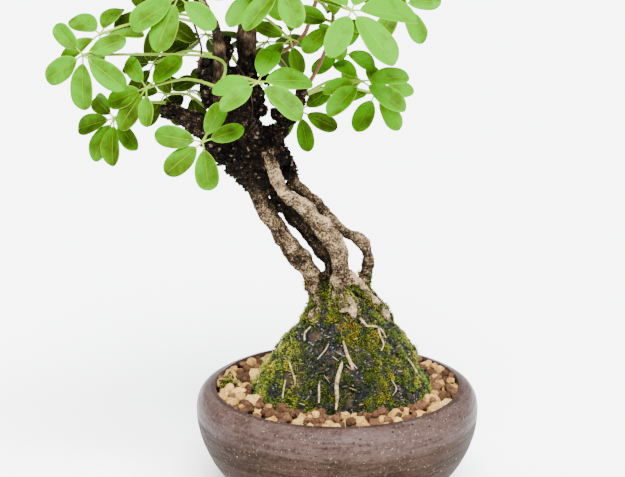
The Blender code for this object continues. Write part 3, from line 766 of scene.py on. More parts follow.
# %% Limbs
LIMBS = {
    "root_left": [(-48, -4, 200, 8.2), (-44, -5, 188, 6.9), (-42, -6, 180, 6.0), (-36, -6, 171, 6.0),
                  (-30, -5, 161, 5.4), (-24, -4, 152, 5.8), (-18, -3, 144, 5.6), (-13, -2, 136, 5.7),
                  (-11, -2, 126, 5.3), (-9, 0, 112, 4.8)],
    "root_front": [(-38, -12, 210, 4.2), (-35, -16, 202, 3.6), (-32, -17, 194, 3.6), (-27, -17, 187, 4.2),
                   (-20, -16, 182, 4.8), (-13, -16, 175, 5.2), (-7, -16, 168, 5.5), (-2, -15, 161, 5.2),
                   (1, -14, 153, 4.7), (1, -14, 145, 4.4), (1, -14, 137, 4.8), (2, -11, 122, 5.4)],
    "root_right": [(-38, 3, 211, 5.0), (-30, 6, 203, 4.4), (-26, 9, 195, 3.9), (-24, 9, 188, 3.5), (-18, 8, 183, 3.5),
                   (-10, 8, 176, 3.3), (-4, 9, 168, 3.4), (3, 10, 161, 3.5), (9, 11, 158, 3.8),
                   (14, 12, 154, 3.7), (17, 12, 147, 3.4), (17, 12, 139, 3.4), (16, 12, 130, 3.7),
                   (17, 10, 114, 4.0)],
    "root_back": [(-40, 2, 196, 7.0), (-31, 3, 182, 5.8), (-25, 4, 172, 5.6), (-18, 4, 164, 5.0),
                  (-11, 4, 155, 4.7), (-6, 2, 148, 4.5), (-3, 0, 141, 5.0), (-2, 1, 124, 5.6)],
    "root_side": [(1, -11, 143, 3.4), (5.5, -12, 142, 2.5), (10.5, -11, 136.5, 2.5), (16.5, -8, 129.5, 2.6),
                  (22, -5, 123, 2.6), (27, -2, 116.6, 2.6), (29, 0, 106, 2.2)],
    "trunk": [(-42, 0, 190, 9.5), (-46, 0, 200, 12.6), (-50, -1, 209, 14.4), (-54, 0, 219, 13.4),
              (-57, 0, 228, 11.6), (-57, 2, 238, 8.5)],
    "stub_left": [(-62, 0, 215, 7.5), (-76, 2, 222, 5.6), (-86, 4, 227, 4.4), (-96, 8, 230, 4.3)],
    "stem_left": [(-60, -5, 230, 7.0), (-64, -8, 243, 4.0), (-64, -8, 254, 3.4), (-64, -6, 265, 3.4),
                  (-66, -4, 277, 3.1), (-71, -4, 286, 3.0), (-75, -2, 296, 2.7), (-76, 0, 313, 2.4),
                  (-72, 4, 331, 2.2), (-67, 6, 349, 1.7)],
    "stem_spur": [(-63, -4, 250, 4.0), (-60, 0, 263, 3.2), (-61, 0, 272, 2.4)],
    "stem_right": [(-55, 4, 230, 8.2), (-51, 8, 250, 5.6), (-50, 8, 266, 5.4), (-49, 8, 280, 5.2),
                   (-48, 8, 296, 4.6), (-44, 6, 315, 3.8), (-38, 4, 334, 3.1), (-33, 4, 355, 2.2)],
    "stub_right": [(-42, 1, 206, 6.0), (-31, 0, 221, 4.2), (-25, -2, 230, 3.7), (-21, -4, 239, 3.6), (-19, -4, 246, 2.8)],
}
BURRS = [(-62, -3, 211, 9.5), (-68, 2, 214, 7.0), (-38, 2, 214, 8.8), (-35, -4, 208, 8.0), (-60, -6, 235, 7.2),
         (-70, 4, 245, 5.0), (-66, 6, 236, 7.0), (-27, 6, 198, 4.2), (-43, 5, 198, 10.0), (-34, 0, 178, 5.4),
         (-49, 9, 215, 9.0)]
TWINERS = {
    "twining_stem_right": [(-20, -4, 240, 1.5), (-13, -4, 252, 1.4), (-8, -6, 263, 1.3), (-5, -8, 272, 1.3),
                           (-3, -8, 287, 1.2), (-6, -4, 303, 1.1), (-14, 2, 318, 1.0), (-22, 6, 333, 0.9)],
    "twining_stem_back": [(-50, 10, 255, 1.6), (-42, 15, 258, 1.5), (-29, 17, 262, 1.4), (-19, 15, 270, 1.4),
                          (-14, 11, 284, 1.4), (-10, 8, 298, 1.3), (-9, 8, 318, 1.2), (-14, 10, 339, 1.1),
                          (-22, 10, 360, 0.9)],
}
WOOD_SWELL = 1.06

# %% Tubes along the limbs
def tubes(name, lines, sides=3):
    """One mesh of round tubes, each along its points of (x, y, z, radius) in millimetres."""
    curve = bpy.data.curves.new(name, "CURVE")
    curve.dimensions = "3D"
    curve.bevel_depth = MM
    curve.bevel_resolution = sides
    curve.use_fill_caps = True
    for line in lines:
        spline = curve.splines.new("POLY")
        spline.points.add(len(line) - 1)
        for point, (x, y, z, radius) in zip(spline.points, line):
            point.co = (x * MM, y * MM, z * MM, 1)
            point.radius = radius
    made = bpy.data.objects.new(name, curve)
    bpy.context.scene.collection.objects.link(made)
    return applied(made)


def limb_line(limb, wobble):
    """A limb's smooth centre line, its radius swelling and shrinking a little."""
    line = smooth_line(limb, 5)
    return [(x, y, z, max(0.5, r) * WOOD_SWELL * (1 + wobble * noise.noise(Vector((x, y, z)) * 0.13))) for x, y, z, r in line]


def slimmed(name, line):
    """The left root is slimmer where it leaves the trunk."""
    if name != "root_left":
        return line
    return [(x, y, z, r * (1 - 0.2 * max(0, min(1, (z - 150) / 20, (206 - z) / 8)))) for x, y, z, r in line]


# %% Fuse the limbs
VOXEL = 0.66
THICKENINGS = {
    "foot_front": [(1, -13, 140, 4.6), (2, -9, 128, 5.2), (3, -5, 116, 5.0)],
    "foot_flare": [(3, -12, 134, 2.8), (6.5, -12.5, 127, 2.9), (8.6, -13.2, 121.5, 2.9), (9.6, -14.2, 117, 2.0)],
    "foot_left": [(-11, -2, 130, 5.2), (-12, -3, 120, 5.0), (-15, -4, 112, 4.6)],
    "stub_bulk": [(-70, 2, 220, 6.4), (-79, 3, 224, 6.4), (-87, 5, 228, 5.4), (-93, 7, 230.5, 5.0)],
}
KNOBS = [(-71, -1, 249, 6.2), (-70, 0, 241, 6.4), (-72, 2, 256, 4.6), (-58, 4, 248, 8.0), (-50, 5, 247, 7.0), (-46, 3, 239, 6.6),
         (-44, 3, 231, 5.6), (-46, 5, 255, 5.2), (-39, 3, 248, 3.6), (-33, 3, 248, 2.4), (-64, 2, 258, 4.6), (-29, 1, 195, 3.8),
         (-34, -1, 229, 3.8), (-31, -1, 234, 3.0)]

wood_tubes = tubes("wood", [slimmed(name, limb_line(limb, 0.16)) for name, limb in list(LIMBS.items()) + list(THICKENINGS.items())], 4)
bm = bmesh.new()
bm.from_mesh(wood_tubes.data)
bpy.data.objects.remove(wood_tubes)
for x, y, z, radius in BURRS + KNOBS:
    bmesh.ops.create_icosphere(bm, subdivisions=3, radius=radius * MM, matrix=Matrix.Translation(vec(x, y, z)))
wood = from_bmesh("bare_roots_and_trunk", bm)
remesh = wood.modifiers.new("fuse", "REMESH")
remesh.mode = "VOXEL"
remesh.voxel_size = VOXEL * MM
relax = wood.modifiers.new("relax", "SMOOTH")
relax.factor = 0.5
relax.iterations = 3
wood = applied(wood)
print("fused wood, points:", len(wood.data.vertices))

# %% [markdown]
# The bark needs to know where it is. Each point takes its paleness from the limb that it lies on, and
# chips come in where the roots meet the trunk. The relief is noise of several sizes: knuckles as on
# fingers, wrinkles across the root, grit, and on the trunk broken cells that stand off like scales.

# %% Bark relief
PALE = {"root_left": 0.14, "root_front": 0.32, "root_right": 0.12, "root_back": -0.15, "root_side": 0.8, "trunk": 0.0,
        "stub_left": 0.15, "stem_left": -0.06, "stem_spur": 0.0, "stem_right": 0.08, "stub_right": 0.12,
        "foot_front": 0.64, "foot_flare": 0.8, "foot_left": 0.4, "stub_bulk": 0.30}
SMOOTH_STEMS = ("stem_left", "stem_right")
CHIP_START = 188
OCCLUSION_REACH = 14
OCCLUSION_LOOKS = [Vector(v) * 0.8 for v in ((0, 0, 0), (1, 0, 0), (-1, 0, 0), (0, -1, 0), (0, 0, 1), (0.6, -0.6, 0.6), (-0.6, -0.6, 0.6))]


def limb_samples():
    """Points along every limb, with their radius and how pale that limb is."""
    samples = []
    for name, limb in list(LIMBS.items()) + list(THICKENINGS.items()):
        for x, y, z, r in smooth_line(limb, 5):
            pale = PALE[name]
            if name == "root_front" and z > 168:
                pale += 0.34
            start = CHIP_START + (14 if name == "root_front" else 0)
            if name.startswith("root") and z > start + 4:
                pale = max(0.0, pale - (z - start - 4) * 0.06)
            rough = 0.0 if name in SMOOTH_STEMS else max(0.0, min(1.0, (z - start) / 14))
            if name.startswith("stub"):
                rough *= 0.6
            samples.append((x, y, z, r, pale, rough, float(name in SMOOTH_STEMS)))
    return np.array(samples + [(x, y, z, r, 0.0, 1.0, 0.0) for x, y, z, r in BURRS + KNOBS])


def bark_relief(point, chips, pale):
    """How far the bark stands out here, in millimetres. Chips runs from 0 on the roots to 1 on the trunk."""
    knuckles = noise.noise(point * 95) * 1.1 + noise.noise(point * 215 + Vector((9, 0, 4))) * (1.0 + 0.9 * max(0, pale - 0.5)) - 0.25
    wrinkles = abs(noise.noise(Vector((point.x * 260, point.y * 260, point.z * 560)))) * -0.7
    grit = noise.noise(point * 760) * 0.42
    flakes = noise.cell(Vector((point.x * 380, point.y * 380, point.z * 270)) + noise.noise_vector(point * 180) * 0.9)
    broken = (flakes - 0.5) * 1.3 + noise.noise(point * 430) * 1.0
    return knuckles + (1 - chips) * (wrinkles + grit) + chips * broken


# painted shade: this share darkens the bark's colour where other wood hems a point in
def occlusion_of(piece, points, outwards):
    """How much of what each point looks at is the piece itself, close by: 0 for open, 1 for hemmed in."""
    tree = BVHTree.FromObject(piece, bpy.context.evaluated_depsgraph_get())
    found = np.zeros(len(points))
    for look in OCCLUSION_LOOKS:
        for index, (point, outward) in enumerate(zip(points.tolist(), outwards.tolist())):
            way = (Vector(outward) + look).normalized()
            if tree.ray_cast(Vector(point) + way * 0.8 * MM, way, OCCLUSION_REACH * MM)[0]:
                found[index] += 1 / len(OCCLUSION_LOOKS)
    return found


def read_vertices(mesh, field, holder):
    """A field of all the mesh's vertices as rows of three numbers."""
    values = np.empty(len(mesh.vertices) * 3, dtype=np.float32)
    holder.foreach_get(field, values)
    return values.reshape(-1, 3)


skin = read_vertices(wood.data, "co", wood.data.vertices)
normals = read_vertices(wood.data, "vector", wood.data.vertex_normals)
samples = limb_samples()
blend = np.empty((len(skin), 3))
for start in range(0, len(skin), 4000):
    batch = skin[start:start + 4000] / MM
    away = np.linalg.norm(batch[:, None, :] - samples[None, :, :3], axis=2) - samples[None, :, 3]
    weight = np.exp(-np.clip(away - away.min(axis=1, keepdims=True), 0, 20) / 0.8)
    blend[start:start + 4000] = (weight @ samples[:, 4:]) / weight.sum(axis=1, keepdims=True)
pale, chips, fibre = blend.T
push = np.array([bark_relief(Vector(p), c, w) for p, c, w in zip(skin.tolist(), chips, pale)]) * (1 - 0.55 * fibre)
occlusion = occlusion_of(wood, skin, normals)
skin = skin + normals * push[:, None].astype(np.float32) * MM
wood.data.vertices.foreach_set("co", skin.ravel())
wood.data.update()
normals = read_vertices(wood.data, "vector", wood.data.vertex_normals)
trait(wood, "pale", pale)
trait(wood, "chips", chips)
trait(wood, "fibre", fibre)
trait(wood, "relief", np.clip(push * 0.3 + 0.5, 0, 1))
# painted light: how far the bark faces the lamps, up and to the front right; it lightens the colour below
trait(wood, "upward", np.clip(normals @ np.array((0.35, -0.35, 0.87)) * 0.5 + 0.5, 0, 1))
trait(wood, "sheltered", occlusion)
print("bark stands out by", round(float(push.min()), 2), "to", round(float(push.max()), 2), "mm")

# %% [markdown]
# Old root bark is tan and granular where it is dry and worn, and brown in its folds. The trunk is almost
# black. The traits stored above say how pale each limb is, how high the bark stands, which way it looks
# and how hemmed in it is, so the crests catch the light tone and the folds keep the dark. Light and shade
# are painted in too: bark facing the lamps is lighter, and undersides and places hemmed in by other limbs
# are painted darker, down to nearly black.

# %% Bark
BARK_BLACK = (0.0022, 0.0016, 0.0012)
BARK_BROWN = (0.013, 0.0078, 0.0045)
BARK_TAN = (0.064, 0.041, 0.0212)
BARK_ASH = (0.27, 0.194, 0.108)

bark = Finish("bark", Roughness=0.85, Specular_IOR_Level=0.03)
long_grain = bark.noise(1, 3, 0.6, bark.stretched(2000, 2000, 260))
speckle = bark.mix(bark.trait("fibre"), bark.noise(900, 2, 0.6) * 0.45 + bark.noise(2100, 2, 0.6) * 0.55, long_grain)
share = bark.trait("pale") * 0.5 + (bark.trait("relief") - 0.5) * 0.5 + (bark.noise(130, 4, 0.65) - 0.5) * 1.6
# painted light and shade: bark facing the lamps is lighter, bark hemmed in by other limbs darker
share = share + (bark.trait("upward") - 0.5) * 0.35 - bark.trait("sheltered") * 0.62 + (speckle - 0.5) * (3.7 - bark.trait("fibre") * 2.4)
share = share + 0.28 - bark.trait("chips") * 0.42
bark_colour = bark.ramp(share, [(0.0, BARK_BLACK), (0.24, BARK_BROWN), (0.56, BARK_TAN), (1.0, BARK_ASH)])
bark_height = speckle * 0.9 + bark.noise(2600, 2) * 0.4 + bark.noise(420, 3) * 0.8
bark_finish = bark.wear(bark_colour, 0.95 - speckle * 0.3, bark_height, 0.0009)
keep(wood, [bark_finish], ["trunk"])

# %% [markdown]
# The trunk's crust is too broken for a pushed skin alone. Small plates of bark are stamped all over it,
# each tilted off the skin, and a few pale rings are the scars that old leaf stalks left.

# %% Bark plates and scars
PLATES = 2600
SCARS = 9

rng = random.Random(5)
rough = np.flatnonzero(chips > 0.3)
high = np.flatnonzero((chips > 0.6) & (skin[:, 2] > 198 * MM))
plate_kinds = []
for kind in range(4):
    bm = bmesh.new()
    bmesh.ops.create_cube(bm, size=1)
    bmesh.ops.subdivide_edges(bm, edges=[e for e in bm.edges if abs(e.verts[0].co.x - e.verts[1].co.x) > 0.5], cuts=1)
    for vertex in bm.verts:
        vertex.co += noise.noise_vector(vertex.co * 2.3 + Vector((kind * 7, 0, 0))) * 0.42
    places = []
    for _ in range(PLATES // 4):
        point = int(rough[rng.randrange(len(rough))])
        tilt = (Vector(normals[point]) + Vector((rng.gauss(0, 0.35), rng.gauss(0, 0.35), rng.gauss(0, 0.35)))).normalized()
        turn = tilt.to_track_quat("Z", "Y").to_matrix().to_4x4() @ Matrix.Rotation(rng.uniform(0, math.tau), 4, "Z")
        length, width = rng.uniform(0.9, 2.6), rng.uniform(0.6, 1.5)
        size = Matrix.Diagonal((length * MM, width * MM, rng.uniform(0.4, 0.9) * MM, 1))
        places.append(Matrix.Translation(Vector(skin[point]) + tilt * 0.2 * MM) @ turn @ size)
    plate_kinds.append(scatter("plates", bm, places, [rng.random() for _ in places]))
plates = joined("bark_plates", plate_kinds)
flake = Finish("bark_flake", Roughness=0.8, Specular_IOR_Level=0.04)
flake_tone = flake.ramp(flake.trait("shade") + (flake.noise(900, 2) - 0.5) * 0.35,
                        [(0.0, BARK_BLACK), (0.75, (0.005, 0.004, 0.0035)), (0.90, (0.022, 0.014, 0.009)), (1.0, (0.13, 0.09, 0.055))])
keep(plates, [flake.wear(flake_tone, height=flake.noise(1500, 2), depth=0.0005)], [], smooth=False)

bm = bmesh.new()
ring = bmesh.ops.create_circle(bm, segments=5, radius=0.33, matrix=Matrix.Translation((1, 0, 0)) @ Matrix.Rotation(math.pi / 2, 4, "X"))
bmesh.ops.spin(bm, geom=bm.verts[:] + bm.edges[:], cent=(0, 0, 0), axis=(0, 0, 1), angle=math.tau, steps=9, use_merge=True)
bmesh.ops.recalc_face_normals(bm, faces=bm.faces)
places = []
for _ in range(SCARS):
    point = int(high[rng.randrange(len(high))])
    turn = Vector(normals[point]).to_track_quat("Z", "Y").to_matrix().to_4x4()
    wide = rng.uniform(0.55, 1.0) * MM
    places.append(Matrix.Translation(Vector(skin[point]) + Vector(normals[point]) * 0.3 * MM) @ turn @ Matrix.Diagonal((wide, wide * 0.85, wide, 1)))
scars = scatter("leaf_scars", bm, places, [rng.random() for _ in places])
scar = Finish("scar", Roughness=0.8, Specular_IOR_Level=0.04)
scar_tone = scar.mix(scar.trait("shade") * scar.noise(1100, 2).between(0.3, 0.7), (0.014, 0.008, 0.005), (0.075, 0.048, 0.028))
keep(scars, [scar.wear(scar_tone, height=scar.noise(1500), depth=0.0003)], [])

# %% [markdown]
# ## The young twining stems
#
# Akebia climbs by twining. Its young stems are thin, smooth and red-brown with small pale pores, and
# swell a little at each joint.

# %% Twining stems
young = Finish("young_bark", Roughness=0.5, Specular_IOR_Level=0.12)
pores = (1 - young.cells(900).between(0.12, 0.25)) * young.noise(300).between(0.5, 0.6)
young_colour = young.mix(young.noise(60, 3), (0.060, 0.024, 0.008), (0.125, 0.058, 0.022))
young_finish = young.wear(young.mix(pores * 0.7, young_colour, (0.17, 0.11, 0.065)), height=young.noise(700) + pores, depth=0.0002)
for name, limb in TWINERS.items():
    line = smooth_line(limb, 6)
    line = [(x, y, z, r * 0.84 * (1 + 0.16 * max(0, math.cos(i * 0.7)) ** 6)) for i, (x, y, z, r) in enumerate(line)]
    stem = tubes(name + "_fine", [line], 3)
    keep(stem, [young_finish], [name])

# %% [markdown]
# ## Moss cushions
#
# Moss is thousands of tiny leafy shoots, packed into cushions. A shoot is a thin pyramid of four faces,
# and a cushion is twenty or so of them, fanned out from one spot. Cushions sit thickly where the tone is
# green and hardly at all on the bare crust, and a few climb the feet of the roots.

# %% Plant the cushions
CUSHIONS = 2700
SHOOTS = (10, 20)
SHOOT_LENGTH = (0.8, 2.0)
SHOOT_WIDTH = 0.36
CUSHION_RADIUS = (0.8, 2.4)
GRAVEL_TUFTS = 34

rng = random.Random(21)
spots = []
while len(spots) < CUSHIONS:
    height = rng.uniform(64.5, 129.9)
    if rng.random() > (radius_at(MOUND_LINE, height) + 12) / (MOUND_FOOT + 12):
        continue
    spot, out = on_mound(rng.uniform(0, math.tau), height, -0.2)
    tone = moss_tone(spot)
    if tone > rng.uniform(0.0, 0.52):
        spots.append((spot, out, tone))
feet = np.flatnonzero((skin[:, 2] < 138 * MM) & (skin[:, 2] > 112 * MM))
for _ in range(620):
    point = int(feet[rng.randrange(len(feet))])
    x, y, z = skin[point] / MM
    bare = math.hypot(x - 8, z - 122) < 3.2 or noise.noise(Vector((x, y, z)) * 0.16) < (0.12 if x > 13 else -0.22)
    if rng.random() < (139 - z) / 9 and not bare:
        spots.append((Vector(skin[point]), Vector(normals[point]), rng.uniform(0.3, 0.8)))
for _ in range(GRAVEL_TUFTS):
    spots.append((vec(-62 + rng.gauss(0, 2), 3 + rng.gauss(0, 4), 72.5 + rng.gauss(0, 1)), Vector((0, 0, 1)), rng.uniform(0.3, 0.75)))

bm = bmesh.new()
bmesh.ops.create_cone(bm, cap_ends=True, segments=3, radius1=1, radius2=0, depth=1, matrix=Matrix.Translation((0, 0, 0.5)))
tip = bm.verts.layers.float.new("tip")
for vertex in bm.verts:
    vertex[tip] = vertex.co.z
places, shades = [], []
for spot, out, tone in spots:
    wide = rng.uniform(*CUSHION_RADIUS)
    side = out.orthogonal().normalized()
    across = out.cross(side)
    shift = rng.uniform(-0.14, 0.14)
    for _ in range(rng.randint(*SHOOTS)):
        reach, turn = math.sqrt(rng.random()), rng.uniform(0, math.tau)
        spread = (side * math.cos(turn) + across * math.sin(turn)) * reach
        root = spot + (spread * wide + out * (0.5 * (1 - reach * reach))) * MM
        lean = (out + spread * 0.8 + Vector((0, 0, 0.25)) + noise.noise_vector(root * 5000) * 0.35).normalized()
        length = rng.uniform(*SHOOT_LENGTH) * MM
        width = SHOOT_WIDTH * rng.uniform(0.7, 1.3) * MM
        place = Matrix.Translation(root) @ lean.to_track_quat("Z", "Y").to_matrix().to_4x4()
        places.append(place @ Matrix.Diagonal((width, width, length, 1)))
        shades.append(max(0, min(1, tone + shift + rng.gauss(0, 0.13))))
shoots = scatter("moss_shoots", bm, places, shades)

# %% Moss green
SHOOT_BASE_SHADE = (0.002, 0.003, 0.0008)
MOSS_TONES = [(0.10, (0.012, 0.016, 0.008)), (0.32, (0.028, 0.052, 0.005)), (0.54, (0.066, 0.098, 0.006)),
              (0.74, (0.155, 0.170, 0.010)), (0.88, (0.29, 0.25, 0.022)), (1.0, (0.29, 0.125, 0.009))]

moss = Finish("moss_shoot", Roughness=0.7, Specular_IOR_Level=0.06)
green = moss.ramp(moss.trait("shade"), MOSS_TONES)
# the shoots darken to near black at their base: partly their own older colour, partly painted shade deep in the cushion
green = moss.mix(moss.trait("tip").between(0.1, 1.0), SHOOT_BASE_SHADE, green)
keep(shoots, [moss.wear(green, 0.75 - moss.noise(800) * 0.2)], [], smooth=False)

# %% [markdown]
# Between the cushions lie crumbs of dark soil with a damp shine, and straw-coloured fibres of dead moss
# and root. Crumbs are balls of twenty faces, and fibres are the same pyramids as the shoots, drawn long
# and laid flat.

# %% Crumbs and fibres
CRUMBS = 4200
FIBRES = 520

places = []
for _ in range(CRUMBS):
    height = rng.uniform(64.5, 128)
    spot, out = on_mound(rng.uniform(0, math.tau), height, 0.15)
    if moss_tone(spot) > rng.uniform(0.3, 0.9):
        continue
    size = rng.uniform(0.25, 0.8) * MM
    turn = Matrix.Rotation(rng.uniform(0, math.tau), 4, Vector((rng.gauss(0, 1), rng.gauss(0, 1), 1)).normalized())
    places.append(Matrix.Translation(spot) @ turn @ Matrix.Diagonal((size, size * 0.8, size * 0.6, 1)))
bm = bmesh.new()
bmesh.ops.create_icosphere(bm, subdivisions=1, radius=1)
crumb_piece = scatter("soil_crumbs", bm, places, [rng.random() for _ in places])
crumb = Finish("soil_crumb", Roughness=0.4, Specular_IOR_Level=0.3)
# the palest grey-blue crumbs are painted glints
crumb_tone = crumb.ramp(crumb.trait("shade"), [(0.0, CRUST_BLACK), (0.42, CRUST_BLUE), (0.62, (0.027, 0.030, 0.038)), (0.74, CRUST_BROWN), (0.88, (0.085, 0.058, 0.038)), (0.99, (0.065, 0.065, 0.07))])
keep(crumb_piece, [crumb.wear(crumb_tone, 0.45 - crumb.noise(600, 2) * 0.3)], [], smooth=False)

places = []
for _ in range(FIBRES):
    spot, out = on_mound(rng.uniform(0, math.tau), rng.uniform(65, 127), 0.7)
    flat = (out.cross(Vector((rng.gauss(0, 1), rng.gauss(0, 1), rng.gauss(0, 1.6)))).normalized() + out * rng.uniform(-0.1, 0.5)).normalized()
    width = rng.uniform(0.14, 0.3) * MM
    places.append(Matrix.Translation(spot) @ flat.to_track_quat("Z", "Y").to_matrix().to_4x4() @ Matrix.Diagonal((width, width, rng.uniform(2.0, 5.5) * MM, 1)))
bm = bmesh.new()
bmesh.ops.create_cone(bm, cap_ends=True, segments=3, radius1=1, radius2=0.3, depth=1, matrix=Matrix.Translation((0, 0, 0.5)))
fibres = scatter("dead_fibres", bm, places, [rng.random() for _ in places])
straw = Finish("straw", Roughness=0.8, Specular_IOR_Level=0.06)
straw_tone = straw.ramp(straw.trait("shade") + (straw.noise(300) - 0.5) * 0.3, [(0.1, (0.018, 0.009, 0.005)), (0.6, (0.07, 0.045, 0.02)), (0.95, (0.22, 0.16, 0.09))])
keep(fibres, [straw.wear(straw_tone)], [])

# %% [markdown]
# Thicker rootlets run down over the moss. Each is a thin tube along a few points on the mound's front,
# given by how far right and how high they are, and laid on its skin.

# %% Rootlets
ROOTLETS = [
    [(2.2, 97.0, 0.5), (1.6, 95, 0.95), (0.0, 90, 1.2), (-0.9, 85, 1.15), (-0.6, 80, 1.0), (-1.0, 76, 0.75), (-1.4, 73.5, 0.5)],
    [(2.9, 107, 0.5), (4.2, 103, 0.85), (5.6, 99.5, 0.9), (7.2, 96, 0.95), (8.1, 93.4, 0.6)],
    [(6.6, 97.6, 0.4), (8.6, 95.6, 0.34), (10.4, 94, 0.2)],
    [(-10.3, 87.5, 0.4), (-10.5, 84, 0.6), (-10.7, 80, 0.7), (-10.6, 76.5, 0.4)],
    [(-5.2, 105.2, 0.35), (-6.8, 103, 0.4), (-9.2, 100, 0.35), (-11.0, 98.5, 0.25)],
    [(-26.6, 94, 0.45), (-26.2, 90, 0.5), (-25.5, 86, 0.5), (-25.2, 83.5, 0.4)],
    [(12.6, 118, 0.75), (14.6, 115.4, 0.7), (16.3, 114, 0.65), (20.5, 112.8, 0.6), (24.2, 111.4, 0.55), (25.9, 109, 0.5), (26.4, 106.5, 0.45)],
    [(23.4, 111.6, 0.5), (24.0, 107.5, 0.5), (25.2, 104, 0.45), (24.6, 101, 0.4)],
    [(40.0, 93.2, 0.55), (42.6, 90, 0.6), (43.6, 86.6, 0.6), (45.2, 84, 0.5), (48.6, 80.5, 0.4)],
    [(-33.6, 98.5, 0.5), (-37.0, 93, 0.6), (-41.0, 87, 0.6), (-44.5, 80.5, 0.5), (-46.4, 75.5, 0.4)],
    [(-16.0, 112, 0.45), (-18.2, 108.5, 0.5), (-18.6, 105, 0.4)],
    [(30.6, 86, 0.35), (31.4, 82, 0.35), (30.8, 79, 0.3)],
    [(-31.0, 84, 0.4), (-30.2, 79, 0.45), (-30.6, 75.5, 0.35)],
]

lines = []
for rootlet in ROOTLETS:
    laid = [(*(front_of_mound(x, z, 1.1 + r * 0.3)[0] / MM), r) for x, z, r in rootlet]
    lines.append([(x, y, z, r * (1 + 0.2 * noise.noise(Vector((x, y, z)) * 0.7))) for x, y, z, r in smooth_line(laid, 5)])
rootlets = tubes("rootlets", lines, 3)
root_skin = Finish("rootlet_skin", Roughness=0.75, Specular_IOR_Level=0.05)
root_tone = root_skin.mix(root_skin.noise(420, 4, 0.65).between(0.34, 0.62), (0.055, 0.036, 0.019), (0.23, 0.17, 0.085))
keep(rootlets, [root_skin.wear(root_tone, height=root_skin.noise(800, 3) + root_skin.noise(250, 2), depth=0.0006)], [])

# %% [markdown]
# ## The plan of the leaves
#
# An akebia leaf is five leaflets round one hub, on a long thin stalk. The leaves that face the front are
# placed one by one after the photograph. Those of the hidden sides and of the crown above the picture
# follow a rule: buds turn up each limb by the golden angle, and each bears two leaves, redrawn until they
# cross nothing. The plan is the same as the part's, draw for draw, so each leaf here lies on its solid.

# %% Leaf sizes
FAN = (0, 66, -66, 134, -134)
LEAFLET_SHARE = (1.0, 0.94, 0.94, 0.78, 0.78)
STALKLET = 4.5
STALK_RADIUS = 0.8
HUB_RADIUS = 1.5
BUD_RADIUS = 2.4
BUD_RISE = 0.7
THIN_LIMB = 2.0
THIN_RISE = 1.7
BLADE_THICK = 0.8
BLADE_ROWS = [(0.24, 0.8), (0.7, 1.0), (1.0, 0.36)]
LEAF_SEED = 11

Leaf = namedtuple("Leaf", "hub face turn size fan via", defaults=(FAN, None))
Leaflet = namedtuple("Leaflet", "hub out along side normal length width sag")
Spur = namedtuple("Spur", "bud leaves")
Grown = namedtuple("Grown", "stalk hub leaflets")

# %% The front leaves
FRONT_SPURS = {
    "leaves_low_front": Spur((-61, -14, 232), [
        Leaf((-72, -34, 221), (0, 12), -136, 23.5, (0, 57, -54, 158, -160)),
    ]),
    "leaves_middle": Spur((-64, -12, 246), [
        Leaf((-42, -46, 255), (5, 52), 22, 27, (0, -65, 51, 155, -161)),
        Leaf((-101, -34, 250), (-25, 20), -120, 22, (0, 168, -36, 40, -98)),
        Leaf((-134, -32, 267), (-15, 16), -92, 25, (0, 60, -62, 120, -130), via=(-66, -16, 263)),
    ]),
    "leaves_left_high": Spur((-69, -5, 280), [
        Leaf((-127, -12, 275), (-20, 55), 150, 23),
        Leaf((-98, 8, 281.5), (10, 30), -100, 21),
    ]),
    "leaves_near_high": Spur((-72, -7, 290), [
        Leaf((-82, -52, 300), (-10, 30), -149, 26, (0, 36, -60, 110, -124)),
    ]),
    "leaves_left_back": Spur((-67, -3, 262), [
        Leaf((-101, 14, 255), (-30, 35), 178, 22),
    ]),
    "leaves_stub": Spur((-94, 5, 236), [
        Leaf((-121, -10, 229), (-30, 25), -122, 23, (0, 36, -36, 76, -90)),
    ]),
    "leaves_low_back": Spur((-68, 5, 235), [
        Leaf((-96, 24, 236), (0, 20), 165, 19),
        Leaf((-84, 42, 234), (20, 40), -80, 20),
    ]),
    "leaves_centre": Spur((-48, 3, 284), [
        Leaf((-26, -4, 271), (10, 30), -145, 16),
        Leaf((-2.5, -20, 282), (5, 15), -135, 18, (0, 60, -66, 130, -134)),
        Leaf((-43, -24, 300), (-5, 50), 175, 22),
        Leaf((6, -47, 292.5), (20, 52), -8, 33, (0, 60, -58, 112, -118)),
    ]),
    "leaves_right": Spur((-17, -6, 242), [
        Leaf((12, -26, 252), (0, 45), -37, 23, (0, 51, -92, -136, 169)),
        Leaf((20, -2, 241), (15, 40), -55, 20),
    ]),
    "leaves_right_low": Spur((-27, 3, 228), [
        Leaf((-21, 16, 228), (0, 10), -80, 20, (0, 54, -60, 118, -128)),
    ]),
    "leaves_right_high": Spur((-8, 8, 289), [
        Leaf((33, -4, 290), (10, 25), -60, 21),
        Leaf((24, 26, 300), (60, 50), 10, 22),
    ]),
    "leaves_right_mid": Spur((-4, -3, 266), [
        Leaf((2, 8, 262), (30, 30), -20, 20),
    ]),
}

# %% The crown's rule
CROWN_BUDS = {
    "stem_left": (3, 5, 7, 8, 9),
    "stem_right": (1, 3, 4, 5, 6, 7),
    "twining_stem_right": (4, 6, 7),
    "twining_stem_back": (2, 5, 7, 8),
}
BUD_LEADS = (-45, 45)
BUD_ROOM = 7
GOLDEN_ANGLE = 137.5
STALK_REACH = (30, 52)
CROWN_LEAFLET = (21, 26)
CROWN_TRIES = 60
CLEARANCE = 1.6


# %% Grow a leaf
def facing(azimuth, elevation):
    """The direction this many degrees round from the front and up from the horizon."""
    a, e = math.radians(azimuth), math.radians(elevation)
    return Vector((math.sin(a) * math.cos(e), -math.cos(a) * math.cos(e), math.sin(e)))


def leaf_axes(normal):
    """The two directions in a leaf's plane: to its right, and the one nearest to straight up."""
    up = Vector((0, 0, 1)) - normal * normal.z
    up = up.normalized() if up.length > 0.05 else Vector((0, 1, 0))
    return up.cross(normal), up


